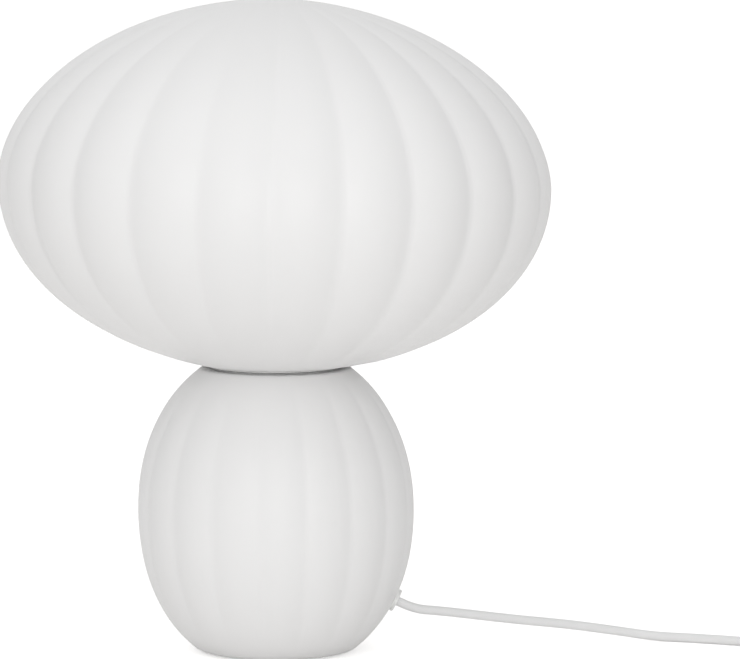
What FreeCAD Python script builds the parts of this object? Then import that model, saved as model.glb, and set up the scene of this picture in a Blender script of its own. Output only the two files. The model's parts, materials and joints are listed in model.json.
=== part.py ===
import FreeCAD, Part
import math
import os
import re
import Sketcher
from FreeCAD import Placement, Rotation, Vector

# Table lamp of two pieces of lobed opal glass: a wide cap that sits loosely on an egg-shaped
# foot, with the lampholder and bulb inside the cap and a braided cord out of the foot's side.
# Millimetres. Z is up, the origin is under the foot on its axis, and the cord leaves towards +X.

# Every size that can be set by itself. Angles are in degrees.
SIZES = {
    # cap of lobed glass
    "shade_radius": 150,
    "shade_centre_rise": 98.9,
    "shade_upper_half": 99.6,
    "shade_upper_exponent": 1.88,
    "shade_lower_exponent": 2.04,
    "shade_lobes": 24,
    "shade_groove_depth": 3.3,
    "shade_groove_fade": 20,
    "shade_groove_turn": -1.08,
    "shade_wall": 5,
    "shade_lean": 1.83,
    "shade_mouth_radius": 33,
    "shade_neck_wall": 4,
    # egg-shaped foot of lobed glass
    "base_radius": 75.4,
    "base_top_height": 155.1,
    "base_centre_share": 0.5013,
    "base_shoulder_radius": 43.6,
    "base_exponent": 2.15,
    "base_lobes": 18,
    "base_groove_depth": 1.3,
    "base_groove_fade": 25,
    "base_groove_turn": 2.59,
    "base_wall": 4.5,
    "base_rim_wall": 4,
    "base_rim_radius": 38,
    "base_rim_drop": 1.4,
    "base_mouth_radius": 32,
    "foot_flat_radius": 33,
    "foot_corner_radius": 23,
    # felt ring under the foot
    "pad_thickness": 1,
    "pad_outer_radius": 29,
    "pad_inner_radius": 19,
    # plate and rings between foot and cap
    "shade_gasket_thickness": 0.6,
    "base_gasket_thickness": 0.3,
    "gasket_inset": 0.2,
    "gasket_overhang": 2.8,
    "plate_radius": 34.8,
    "plate_thickness": 0.6,
    "plate_collar_wall": 1,
    "plate_collar_height": 8,
    "plate_skirt_height": 4,
    "collar_gap": 0.9,
    "skirt_gap": 0.6,
    "seat_ring_width": 4.5,
    # hollow tube and clamp
    "tube_radius": 5,
    "tube_bore_radius": 4,
    "tube_drop": 17,
    "tube_rise": 9,
    "tube_gap": 0.1,
    "bar_clearance": 0.75,
    "bar_width": 14,
    "bar_thickness": 2,
    "clamp_pad_length": 6,
    "clamp_pad_thickness": 1.5,
    "washer_radius": 9,
    "washer_thickness": 1,
    "nut_across_flats": 17,
    "nut_thickness": 5,
    # lampholder
    "holder_radius": 19.5,
    "holder_boss_radius": 9,
    "holder_boss_height": 6,
    "holder_cap_height": 21,
    "holder_height": 52,
    "holder_straight_height": 8,
    "holder_wall": 1.6,
    "holder_lip": 1,
    "holder_rim_thickness": 2,
    "holder_edge_radius": 1.5,
    "holder_mouth_radius": 15.4,
    "insert_flange_radius": 18,
    "insert_flange_thickness": 2,
    "insert_floor_thickness": 5,
    "insert_wall_radius": 16.2,
    "insert_wall_height": 20,
    "insert_gap": 0.4,
    "shell_radius": 13.55,
    "shell_thickness": 0.5,
    "shell_height": 20.5,
    "shell_gap": 0.3,
    "contact_width": 5,
    "contact_thickness": 0.5,
    "contact_rise": 2.4,
    "contact_foot": 8,
    "side_contact_width": 2,
    "side_contact_height": 4.4,
    "terminal_offset": 9,
    "terminal_screw_radius": 1.5,
    "terminal_head_radius": 2.8,
    "terminal_head_height": 1.6,
    "terminal_head_gap": 0.8,
    "terminal_screw_length": 4.5,
    "terminal_bore_depth": 4,
    "grub_radius": 1.5,
    "grub_length": 3.4,
    "grub_height": 2,
    "fit_gap": 0.05,
    # bulb
    "bulb_radius": 30,
    "bulb_length": 108,
    "bulb_neck_radius": 13.6,
    "bulb_wall": 0.9,
    "bulb_cap_radius": 13.1,
    "bulb_cap_height": 21,
    "bulb_cap_step": 2,
    "bulb_cap_wall": 0.6,
    "bulb_button_radius": 4.5,
    "bulb_button_height": 1.4,
    "bulb_disc_height": 3,
    "bulb_contact_gap": 0.3,
    # gland in the foot's side
    "gland_height": 27.4,
    "gland_flange_radius": 6.4,
    "gland_flange_thickness": 1.3,
    "gland_stem_radius": 4.9,
    "gland_stem_beyond": 3,
    "gland_bore_radius": 2.8,
    "gland_hole_radius": 5.2,
    "gland_stand_off": 0.5,
    "gland_nut_across_flats": 14,
    "gland_nut_thickness": 3,
    "grip_length": 10,
    "grip_width": 10,
    # braided cord
    "cord_diameter": 5.2,
    "core_diameter": 1.8,
    "cord_floor_gap": 0.05,
    # switch on the cord
    "switch_length": 60,
    "switch_width": 26,
    "switch_height": 16,
    "switch_parting": 6.2,
    "switch_wall": 1.7,
    "switch_floor_gap": 0.1,
    "rocker_length": 19,
    "rocker_width": 9.2,
    "rocker_gap": 0.45,
    "rocker_end_gap": 0.95,
    "rocker_rise": 1.1,
    "rocker_valley": 1.2,
    "rocker_keel_half": 3,
    "rocker_keel_drop": 2.4,
    "rocker_pivot_height": 12,
    "rocker_tilt": 7,
    "pin_radius": 1,
    "pin_play": 0.15,
    "ear_half": 3,
    "ear_drop": 2.2,
    "ear_thickness": 2,
    "switch_contact_top": 9,
    "switch_contact_reach": 14,
    "switch_screw_radius": 1.3,
    "switch_screw_recess": 1.5,
    "switch_screw_hold": 4,
    "switch_screw_x": 21,
    "switch_screw_y": 7.5,
    "switch_post_radius": 3.2,
    # wound cord
    "coil_inner_radius": 21,
    "coil_turns_per_layer": 3.375,
    "coil_pitch": 5.9,
    "coil_layer_step": 5.8,
    "tie_width": 9,
    "tie_thickness": 0.7,
    "tie_gap": 1.1,
    "tie_corner_radius": 2,
    "tie_angle": 200,
    # flat two-pin plug
    "plug_length": 36,
    "plug_half_width": 17.6,
    "plug_neck_half_width": 4.5,
    "plug_waist_half_width": 6.5,
    "plug_nose_slope": 4.2,
    "plug_thickness": 13.7,
    "plug_floor_gap": 0.1,
    "plug_pin_radius": 2,
    "plug_pin_core_radius": 1.5,
    "plug_pin_length": 19,
    "plug_pin_spacing": 18.6,
    "plug_sleeve_length": 10,
    "plug_pin_depth": 8,
}

# Levels that follow from the sizes, as expressions of the sheet.
FOOT = "pad_thickness"
MOUTH = "base_top_height"
PLATE = "(base_top_height + base_gasket_thickness)"
PLATE_TOP = "(base_top_height + base_gasket_thickness + plate_thickness)"
SEAT = PLATE_TOP[:-1] + " + shade_gasket_thickness)"
LIP_UNDER = "(base_top_height - base_rim_wall)"
BASE_CENTRE = "(base_top_height * base_centre_share)"
# the foot's side is a superellipse that passes through the shoulder under the rim
BASE_HALF = "((base_top_height * (1 - base_centre_share) - base_rim_drop)" \
            " / (1 - (base_shoulder_radius / base_radius) ^ base_exponent) ^ (1 / base_exponent))"
# radius of the foot's cavity under its lip, and half the bar that fits in there
CAVITY_TOP = "((base_radius - base_wall) * (1 - ((%s - %s) / (%s - base_wall)) ^ base_exponent)" \
             " ^ (1 / base_exponent))" % (LIP_UNDER, BASE_CENTRE, BASE_HALF)
BAR_HALF = "sqrt((%s - bar_clearance) ^ 2 - bar_width ^ 2 / 4)" % CAVITY_TOP
# the cap's lower side is a superellipse that meets the neck at the seat
SHADE_CENTRE = SEAT[:-1] + " + shade_centre_rise)"
SHADE_LOWER_HALF = "(shade_centre_rise / (1 - ((shade_mouth_radius + shade_neck_wall) / shade_radius)" \
                   " ^ shade_lower_exponent) ^ (1 / shade_lower_exponent))"
BAR_TOP = "(base_top_height - base_rim_wall - clamp_pad_thickness)"
BAR_UNDER = "(base_top_height - base_rim_wall - clamp_pad_thickness - bar_thickness)"
NUT_TOP = "(base_top_height - base_rim_wall - clamp_pad_thickness - bar_thickness - washer_thickness)"
INSERT = PLATE_TOP[:-1] + " + holder_cap_height)"
INSERT_FLOOR = INSERT[:-1] + " + insert_floor_thickness)"
BULB_TIP = INSERT_FLOOR[:-1] + " + contact_rise + bulb_contact_gap)"

doc = FreeCAD.newDocument("table_lamp")
sheet = doc.addObject("Spreadsheet::Sheet", "Sizes")
pieces = []


def fill_sheet():
    for row, (alias, number) in enumerate(SIZES.items(), start=1):
        sheet.set("A%d" % row, alias)
        sheet.set("B%d" % row, str(number))
        sheet.setAlias("B%d" % row, alias)
    doc.recompute()


def size(expression):
    """The number that an expression of the sheet's sizes gives."""
    return float(sheet.evalExpression(expression))


def linked(expression):
    """The expression as another object of the document reads it."""
    return re.sub(r"[a-z_]{3,}", lambda word: "Sizes." + word[0] if word[0] in SIZES else word[0],
                  expression)


def bind(thing, name, expression):
    thing.setExpression(name, linked(expression))


# Helpers for pieces made from sketches

def new_body(label):
    body = doc.addObject("PartDesign::Body", label)
    pieces.append(body)
    return body


def new_sketch(body, plane="XY_Plane", lift="0"):
    """A sketch on one of the body's own planes, lifted along the plane's normal."""
    sketch = body.newObject("Sketcher::SketchObject", body.Name + "_sketch")
    support = [item for item in body.Origin.OriginFeatures if item.Role == plane][0]
    sketch.AttachmentSupport = [(support, "")]
    sketch.MapMode = "FlatFace"
    if lift != "0":
        bind(sketch, "AttachmentOffset.Base.z", lift)
    return sketch


def hold(sketch, kind, where, expression):
    """A bound distance from the sketch's origin, or a bound radius."""
    if kind == "Radius":
        number = sketch.addConstraint(Sketcher.Constraint(kind, where[0], size(expression)))
    else:
        number = sketch.addConstraint(
            Sketcher.Constraint(kind, -1, 1, where[0], where[1], size(expression)))
    name = "%s_%d" % (kind, number)
    sketch.renameConstraint(number, name)
    bind(sketch, "Constraints." + name, expression)


def draw_outline(sketch, corners):
    """A closed outline of straight edges whose corners are pairs of expressions."""
    first = sketch.GeometryCount
    points = [Vector(size(across), size(along), 0) for across, along in corners]
    count = len(points)
    for index in range(count):
        sketch.addGeometry(Part.LineSegment(points[index], points[(index + 1) % count]), False)
    for index in range(count):
        following = first + (index + 1) % count
        sketch.addConstraint(Sketcher.Constraint("Coincident", first + index, 2, following, 1))
    for index, (across, along) in enumerate(corners):
        hold(sketch, "DistanceX", (first + index, 1), across)
        hold(sketch, "DistanceY", (first + index, 1), along)


def draw_circle(sketch, across, along, radius):
    centre = Vector(size(across), size(along), 0)
    index = sketch.addGeometry(Part.Circle(centre, Vector(0, 0, 1), size(radius)), False)
    hold(sketch, "DistanceX", (index, 3), across)
    hold(sketch, "DistanceY", (index, 3), along)
    hold(sketch, "Radius", (index,), radius)


def box_corners(low_across, high_across, low_along, high_along):
    return [(low_across, low_along), (high_across, low_along),
            (high_across, high_along), (low_across, high_along)]


def add_feature(body, kind, sketch, length=None, upwards=True):
    """A pad, pocket, revolution or groove of the sketch, which has to add or take something."""
    before = 0 if body.Shape.isNull() else body.Shape.Volume
    feature = body.newObject("PartDesign::" + kind, body.Name + "_" + kind.lower())
    feature.Profile = sketch
    if length is None:
        feature.ReferenceAxis = (sketch, ["V_Axis"])
        feature.Angle = 360
    else:
        bind(feature, "Length", length)
        feature.Reversed = not upwards if kind == "Pad" else upwards
    body.Tip = feature
    doc.recompute()
    change = body.Shape.Volume - before
    if change >= 0 if kind in ("Pocket", "Groove") else change <= 0:
        raise ValueError(body.Label + ": the %s changed nothing" % kind.lower())


def turned(label, *outlines):
    """A piece turned about Z from outlines of (radius, height)."""
    body = new_body(label)
    sketch = new_sketch(body, "XZ_Plane")
    for outline in outlines:
        draw_outline(sketch, outline)
    add_feature(body, "Revolution", sketch)
    return body


def ring(label, inner, outer, low, high):
    return turned(label, box_corners(inner, outer, low, high))


def padded(label, draw, low, height):
    """A piece padded upwards from a sketch that the function draw fills."""
    body = new_body(label)
    sketch = new_sketch(body, "XY_Plane", low)
    draw(sketch)
    add_feature(body, "Pad", sketch, height)
    return body


def cut_pocket(body, draw, low, height):
    """Cuts upwards from the given level."""
    sketch = new_sketch(body, "XY_Plane", low)
    draw(sketch)
    add_feature(body, "Pocket", sketch, height, upwards=True)


def add_pad(body, draw, low, height):
    sketch = new_sketch(body, "XY_Plane", low)
    draw(sketch)
    add_feature(body, "Pad", sketch, height)


def round_edges(body, radius, chosen, kind="Fillet"):
    """Rounds the edges for which chosen(edge) is true."""
    solid = body.Tip
    names = ["Edge%d" % (number + 1) for number, edge in enumerate(solid.Shape.Edges) if chosen(edge)]
    if not names:
        raise ValueError(body.Label + ": no edge to round")
    feature = body.newObject("PartDesign::" + kind, body.Name + "_" + kind.lower())
    feature.Base = (solid, names)
    bind(feature, "Radius" if kind == "Fillet" else "Size", radius)
    body.Tip = feature
    doc.recompute()


def circle_at(radius, height):
    """Chooses the round edges of a given radius at a given height."""
    def chosen(edge):
        if not isinstance(edge.Curve, Part.Circle):
            return False
        same_radius = abs(edge.Curve.Radius - size(radius)) < 0.01
        return same_radius and abs(edge.Curve.Center.z - size(height)) < 0.01
    return chosen


def hexagon(across_flats):
    """Draws a hexagon about the origin."""
    def draw(sketch):
        corners = []
        for step in range(6):
            angle = math.radians(60 * step + 30)
            reach = "%s / 2 / %.9f" % (across_flats, math.cos(math.pi / 6))
            corners.append(("%s * %.9f" % (reach, math.cos(angle)),
                            "%s * %.9f" % (reach, math.sin(angle))))
        draw_outline(sketch, corners)
    return draw


def disc(radius, across="0", along="0"):
    return lambda sketch: draw_circle(sketch, across, along, radius)


def block(half_across, half_along):
    corners = box_corners("-(%s)" % half_across, half_across, "-(%s)" % half_along, half_along)
    return lambda sketch: draw_outline(sketch, corners)


def cut_block(half_across, half_along, corner):
    """Draws a rectangle about the origin with its corners cut off."""
    def draw(sketch):
        corners = []
        for side_x, side_y in ((1, 1), (-1, 1), (-1, -1), (1, -1)):
            far = ("%d * (%s)" % (side_x, half_across), "%d * (%s - %s)" % (side_y, half_along, corner))
            near = ("%d * (%s - %s)" % (side_x, half_across, corner), "%d * (%s)" % (side_y, half_along))
            corners += [far, near] if side_x * side_y > 0 else [near, far]
        draw_outline(sketch, corners)
    return draw


def cylinder(label, radius, height, kept=True):
    item = doc.addObject("Part::Cylinder", label)
    bind(item, "Radius", radius)
    bind(item, "Height", height)
    if kept:
        pieces.append(item)
    return item


def group(label, members):
    """Separate solids under one name."""
    compound = doc.addObject("Part::Compound", label)
    compound.Links = members
    pieces.append(compound)
    doc.recompute()
    return compound


def add_shape(label, shape):
    item = doc.addObject("Part::Feature", label)
    item.Shape = shape
    pieces.append(item)
    return item


# Lobed glass

def superellipse_radius(radius, exponent, share):
    """Radius of the profile at a height given as a share of its half height."""
    return radius * max(0.0, 1 - abs(share) ** exponent) ** (1 / exponent)


def lobed_section(radius, height, lobes, depth, turn):
    """A closed ring of equal outward arcs that meet in grooves."""
    arcs = []
    for lobe in range(lobes):
        start, crest, end = (math.radians(turn + (lobe + part) * 360 / lobes) for part in (0, 0.5, 1))
        spots = [(radius - depth, start), (radius, crest), (radius - depth, end)]
        arc = Part.Arc(*[Vector(reach * math.cos(angle), reach * math.sin(angle), height)
                         for reach, angle in spots])
        arcs.append(arc.toShape())
    return Part.Wire(arcs)


def lobed_solid(profile, full_radius, lobes, depth, turn, low, fade, top=None):
    """A smooth loft through lobed rings. The grooves fade towards the low end, and the top."""
    rings = []
    for radius, height in profile:
        share = min(1.0, max(0.0, (height - low) / fade))
        if top is not None:
            share = share * min(1.0, max(0.0, (top - height) / fade))
        rings.append(lobed_section(radius, height, lobes, depth * share * radius / full_radius, turn))
    return Part.makeLoft(rings, True, False)


def turned_solid(profile):
    """A solid of revolution with a smooth side through the profile's points and flat ends."""
    points = [Vector(radius, 0, height) for radius, height in profile]
    side = Part.BSplineCurve()
    side.interpolate(points)
    edges = [side.toShape()]
    low, high = points[0], points[-1]
    if high.x > 0:
        edges.append(Part.LineSegment(high, Vector(0, 0, high.z)).toShape())
    edges.append(Part.LineSegment(Vector(0, 0, high.z), Vector(0, 0, low.z)).toShape())
    edges.append(Part.LineSegment(Vector(0, 0, low.z), low).toShape())
    return Part.Face(Part.Wire(edges)).revolve(Vector(0, 0, 0), Vector(0, 0, 1), 360)


def shade_profile(inset, low_angle, high_angle, steps):
    """Points (radius, height) of the cap's profile, from the mouth up to the pole."""
    points = []
    for step in range(steps + 1):
        angle = math.radians(low_angle + (high_angle - low_angle) * step / steps)
        upper = angle > 0
        exponent = size("shade_upper_exponent" if upper else "shade_lower_exponent")
        half = size("shade_upper_half" if upper else SHADE_LOWER_HALF) - inset
        rise = math.copysign(abs(math.sin(angle)) ** (2 / exponent), angle)
        radius = superellipse_radius(size("shade_radius") - inset, exponent, rise)
        points.append((radius, size(SHADE_CENTRE) + half * rise))
    return points


def make_shade():
    wall = size("shade_wall")
    seat = size(SEAT)
    mouth = size("shade_mouth_radius")
    outer = lobed_solid(shade_profile(0, -80, 88, 16), size("shade_radius"), int(size("shade_lobes")),
                        size("shade_groove_depth"), size("shade_groove_turn"), seat,
                        size("shade_groove_fade"))
    cavity = turned_solid(shade_profile(wall, -80, 90, 20))
    # the blown body leans on its level, ground mouth
    centre = Vector(0, 0, size(SHADE_CENTRE))
    for solid in (outer, cavity):
        solid.rotate(centre, Vector(0, 1, 0), size("shade_lean"))
    neck_height = 1.5 * wall
    neck = Part.makeCylinder(mouth + size("shade_neck_wall"), neck_height, Vector(0, 0, seat))
    ground = Part.makeCylinder(size("shade_radius"), 2 * wall, Vector(0, 0, seat - 2 * wall))
    bore = Part.makeCylinder(mouth, 6 * wall, Vector(0, 0, seat - wall))
    shade = outer.fuse(neck).cut(cavity).cut(ground).cut(bore)
    add_shape("glass_shade", shade.Solids[0])


def base_angle(height, half):
    """Angle along the foot's profile at a height."""
    share = (height - size(BASE_CENTRE)) / half
    return math.asin(math.copysign(abs(share) ** (size("base_exponent") / 2), share))


def base_profile(inset, low, high, steps):
    """Points (radius, height) of the foot's side between two heights."""
    half = size(BASE_HALF) - inset
    first = base_angle(low, half)
    last = base_angle(high, half)
    points = []
    for step in range(steps + 1):
        angle = first + (last - first) * step / steps
        rise = math.copysign(abs(math.sin(angle)) ** (2 / size("base_exponent")), angle)
        radius = superellipse_radius(size("base_radius") - inset, size("base_exponent"), rise)
        points.append((radius, size(BASE_CENTRE) + half * rise))
    return points


def base_outer_profile():
    """The whole outer profile: rounded corner, belly, shoulder and rounded rim."""
    foot = size(FOOT)
    corner = size("foot_corner_radius")
    points = []
    for angle in (0, 15, 29):
        turn = math.radians(angle)
        points.append((size("foot_flat_radius") + corner * math.sin(turn),
                       foot + corner * (1 - math.cos(turn))))
    top = size(MOUTH)
    drop = size("base_rim_drop")
    belly = base_profile(0, foot + corner / 2, top - drop, 12)
    points += belly
    rim = size("base_rim_radius")
    for angle in (40, 65, 90):
        turn = math.radians(angle)
        points.append((rim + (belly[-1][0] - rim) * math.cos(turn), top - drop * (1 - math.sin(turn))))
    return points


def gland_axis():
    """Where the gland's axis meets the foot's side, and the outward normal there."""
    exponent = size("base_exponent")
    half = size(BASE_HALF)
    radius = size("base_radius")
    share = (size("gland_height") - size(BASE_CENTRE)) / half
    reach = superellipse_radius(radius, exponent, share)
    outward = (reach / radius) ** (exponent - 1) / radius
    downward = abs(share) ** (exponent - 1) / half
    normal = Vector(outward, 0, math.copysign(downward, share))
    normal.normalize()
    return Vector(reach, 0, size("gland_height")), normal


def gland_placement():
    """Puts a piece made along Z, with the glass surface at zero, on the gland's axis."""
    point, normal = gland_axis()
    return Placement(point, Rotation(Vector(0, 0, 1), normal))


def make_base():
    wall = size("base_wall")
    foot = size(FOOT)
    top = size(MOUTH)
    outer = lobed_solid(base_outer_profile(), size("base_radius"), int(size("base_lobes")),
                        size("base_groove_depth"), size("base_groove_turn"), foot,
                        size("base_groove_fade"), top)
    cavity = turned_solid(base_profile(wall, foot + 1.6 * wall, size(LIP_UNDER), 16))
    mouth = Part.makeCylinder(size("base_mouth_radius"), 4 * wall, Vector(0, 0, top - 2 * wall))
    hole = Part.makeCylinder(size("gland_hole_radius"), 8 * wall, Vector(0, 0, -4 * wall))
    hole.Placement = gland_placement().multiply(Placement(Vector(0, 0, -4 * wall), Rotation()))
    base = outer.cut(cavity).cut(mouth).cut(hole)
    add_shape("glass_base", base.Solids[0])
    return base


# Pieces stacked between the foot and the cap

def make_stack():
    ring("foot_pad", "pad_inner_radius", "pad_outer_radius", "0", FOOT)
    ring("base_gasket", "base_mouth_radius + gasket_inset", "base_mouth_radius + gasket_overhang", MOUTH, PLATE)

    # plate with a collar up inside the cap's mouth and a skirt down inside the foot's mouth
    collar = "(shade_mouth_radius - collar_gap)"
    skirt = "(base_mouth_radius - skirt_gap)"
    collar_top = PLATE_TOP + " + plate_collar_height"
    outline = [("tube_radius + tube_gap", PLATE), (skirt + " - plate_collar_wall", PLATE),
               (skirt + " - plate_collar_wall", PLATE + " - plate_skirt_height"),
               (skirt, PLATE + " - plate_skirt_height"), (skirt, PLATE), ("plate_radius", PLATE),
               ("plate_radius", PLATE_TOP), (collar, PLATE_TOP), (collar, collar_top),
               (collar + " - plate_collar_wall", collar_top),
               (collar + " - plate_collar_wall", PLATE_TOP), ("tube_radius + tube_gap", PLATE_TOP)]
    turned("fitter_plate", outline)
    ring("shade_gasket", collar + " + fit_gap", collar + " + seat_ring_width", PLATE_TOP, SEAT)

    ring("threaded_tube", "tube_bore_radius", "tube_radius", PLATE + " - tube_drop",
         PLATE_TOP + " + tube_rise")
    ring("tube_washer", "tube_radius + tube_gap", "washer_radius", NUT_TOP, BAR_UNDER)
    nut = padded("tube_nut", hexagon("nut_across_flats"), NUT_TOP + " - nut_thickness",
                 "nut_thickness")
    cut_pocket(nut, disc("tube_radius + fit_gap"), NUT_TOP + " - nut_thickness", "nut_thickness")

    bar = padded("clamp_bar", block(BAR_HALF, "bar_width / 2"), BAR_UNDER, "bar_thickness")
    cut_pocket(bar, disc("tube_radius + tube_gap"), BAR_UNDER, "bar_thickness")
    round_edges(bar, "bar_width / 4", lambda edge: is_upright(edge) and
                abs(edge.BoundBox.XMax) > size(BAR_HALF) / 2)
    ends = []
    for side in ("-", ""):
        pad = doc.addObject("Part::Box", "clamp_pad_end")
        bind(pad, "Length", "clamp_pad_length")
        bind(pad, "Width", "bar_width")
        bind(pad, "Height", "clamp_pad_thickness")
        bind(pad, "Placement.Base.x", "%s(%s - clamp_pad_length / 2) - clamp_pad_length / 2"
             % (side, BAR_HALF))
        bind(pad, "Placement.Base.y", "-bar_width / 2")
        bind(pad, "Placement.Base.z", BAR_TOP)
        ends.append(pad)
    group("clamp_pads", ends)


def is_upright(edge):
    """True for a straight edge along Z."""
    box = edge.BoundBox
    return isinstance(edge.Curve, Part.Line) and box.XLength < 0.01 and box.YLength < 0.01


# Lampholder

def make_holder():
    inside = "holder_radius - holder_wall - holder_lip"
    cap_top = PLATE_TOP + " + holder_cap_height"
    waist = PLATE_TOP + " + holder_cap_height - holder_straight_height"
    outline = [("tube_radius + fit_gap", PLATE_TOP), ("holder_boss_radius", PLATE_TOP),
               ("holder_boss_radius", PLATE_TOP + " + holder_boss_height - holder_wall"),
               ("holder_radius", waist), ("holder_radius", cap_top),
               (inside, cap_top), (inside, waist),
               ("holder_boss_radius", PLATE_TOP + " + holder_boss_height"),
               ("tube_radius + fit_gap", PLATE_TOP + " + holder_boss_height")]
    cap = turned("holder_cap", outline)
    round_edges(cap, "2 * holder_edge_radius", circle_at("holder_radius", waist))
    # tapped hole for the grub screw, through the boss towards +X
    sketch = new_sketch(cap, "YZ_Plane", "tube_radius")
    draw_circle(sketch, "0", PLATE_TOP + " + grub_height", "grub_radius + fit_gap")
    add_feature(cap, "Pocket", sketch, "holder_boss_radius", upwards=True)

    grub = cylinder("grub_screw", "grub_radius", "grub_length")
    spot = Vector(size("tube_radius + fit_gap"), 0, size(PLATE_TOP + " + grub_height"))
    grub.Placement = Placement(spot, Rotation(Vector(0, 1, 0), 90))

    skirt_top = PLATE_TOP + " + holder_height"
    rim_under = skirt_top + " - holder_rim_thickness"
    flange_top = INSERT + " + insert_flange_thickness + 2 * fit_gap"
    flange_edge = "insert_flange_radius + 2 * fit_gap"
    outline = [(flange_edge, INSERT), ("holder_radius", INSERT),
               ("holder_radius", skirt_top), ("holder_mouth_radius", skirt_top),
               ("holder_mouth_radius", rim_under), ("insert_wall_radius + insert_gap", rim_under),
               ("insert_wall_radius + insert_gap", flange_top), (flange_edge, flange_top)]
    skirt = turned("holder_skirt", outline)
    round_edges(skirt, "holder_edge_radius", circle_at("holder_radius", skirt_top))

    # ceramic body with a wall round the socket and two bores for the terminal screws
    wall_top = INSERT_FLOOR + " + insert_wall_height"
    socket = "shell_radius + shell_thickness + shell_gap"
    outline = [("0", INSERT), ("insert_flange_radius", INSERT),
               ("insert_flange_radius", INSERT + " + insert_flange_thickness"),
               ("insert_wall_radius", INSERT + " + insert_flange_thickness"),
               ("insert_wall_radius", wall_top), (socket, wall_top), (socket, INSERT_FLOOR),
               ("0", INSERT_FLOOR)]
    insert = turned("holder_insert", outline)

    def screw_bores(sketch):
        for side in ("-", ""):
            draw_circle(sketch, side + "terminal_offset", "0", "terminal_screw_radius + fit_gap")
    cut_pocket(insert, screw_bores, INSERT, "terminal_bore_depth")

    ring("screw_shell", "shell_radius", "shell_radius + shell_thickness",
         INSERT_FLOOR, INSERT_FLOOR + " + shell_height")

    make_contacts()
    screws = []
    for side in (-1, 1):
        shank = cylinder("terminal_shank", "terminal_screw_radius", "terminal_screw_length", False)
        head = cylinder("terminal_head", "terminal_head_radius", "terminal_head_height", False)
        spot = Vector(side * size("terminal_offset"), 0, size(INSERT + " - terminal_head_gap"))
        shank.Placement.Base = spot
        head.Placement.Base = spot - Vector(0, 0, size("terminal_head_height"))
        screw = doc.addObject("Part::Fuse", "terminal_screw")
        screw.Base = head
        screw.Tool = shank
        screws.append(screw)
    group("terminal_screws", screws)


def bent_strip(label, points, width):
    """A flat strip of even width, bent along a line of (x, height) points, on the XZ plane."""
    thickness = size("contact_thickness")
    path = [Vector(across, 0, along) for across, along in points]
    line = Part.makePolygon(path)
    face = line.makeOffset2D(thickness / 2, 2, True, True)
    strip = Part.Face(face).extrude(Vector(0, width, 0))
    strip.translate(Vector(0, -width / 2, 0))
    return add_shape(label, strip)


def make_contacts():
    floor = size(INSERT_FLOOR)
    half = size("contact_thickness") / 2
    rise = size("contact_rise")
    foot = size("contact_foot")
    # sprung tongue: flat on the floor, then up to the bulb's button
    bent_strip("centre_contact", [(-foot, floor + half), (-foot / 2, floor + half),
                                  (-foot / 8, floor + rise - half), (foot / 4, floor + rise - half)],
               size("contact_width"))
    # tongue inside the screw shell's foot
    reach = size("shell_radius - fit_gap") - half
    bent_strip("side_contact", [(foot * 0.75, floor + half), (reach, floor + half),
                                (reach, floor + size("side_contact_height"))],
               size("side_contact_width"))


def make_bulb():
    """Globe tangent to a cone that runs down to the neck, with its cap, disc and button."""
    def globe(sketch, inset):
        top = size(BULB_TIP) + size("bulb_length") - inset
        radius = size("bulb_radius") - inset
        centre = size(BULB_TIP) + size("bulb_length") - size("bulb_radius")
        low = size(BULB_TIP + " + bulb_button_height + bulb_disc_height + bulb_cap_height")
        neck = size("bulb_neck_radius") - inset
        # angle of the point where the line from the neck touches the globe
        across, down = neck, low - centre
        distance = math.hypot(across, down)
        touch = math.atan2(down, across) + math.acos(radius / distance)
        spot = Vector(radius * math.cos(touch), centre + radius * math.sin(touch), 0)
        crest = Vector(0, top, 0)
        between = Vector(radius, centre, 0)
        sketch.addGeometry(Part.Arc(crest, between, spot), False)
        sketch.addGeometry(Part.LineSegment(spot, Vector(neck, low, 0)), False)
        sketch.addGeometry(Part.LineSegment(Vector(neck, low, 0), Vector(0, low, 0)), False)
        sketch.addGeometry(Part.LineSegment(Vector(0, low, 0), crest), False)

    body = new_body("bulb_glass")
    outer = new_sketch(body, "XZ_Plane")
    globe(outer, 0)
    add_feature(body, "Revolution", outer)
    inner = new_sketch(body, "XZ_Plane")
    globe(inner, size("bulb_wall"))
    add_feature(body, "Groove", inner)

    button_top = BULB_TIP + " + bulb_button_height"
    disc_top = button_top + " + bulb_disc_height"
    turned("bulb_contact", [("0", BULB_TIP), ("bulb_button_radius * 0.6", BULB_TIP),
                            ("bulb_button_radius", button_top), ("0", button_top)])
    foot = "bulb_cap_radius - bulb_cap_step"
    turned("bulb_insulator", [("0", button_top), ("bulb_button_radius * 1.1", button_top),
                              (foot, disc_top), ("0", disc_top)])
    wall = "bulb_cap_radius - bulb_cap_wall"
    cap_top = disc_top + " + bulb_cap_height"
    turned("bulb_cap", [(foot + " - bulb_cap_step", disc_top), (foot, disc_top),
                        ("bulb_cap_radius", disc_top + " + bulb_cap_step"),
                        ("bulb_cap_radius", cap_top), (wall, cap_top),
                        (wall, disc_top + " + bulb_cap_step + bulb_cap_wall"),
                        (foot + " - bulb_cap_step", disc_top + " + bulb_cap_wall")])


# Gland in the foot's side

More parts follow.
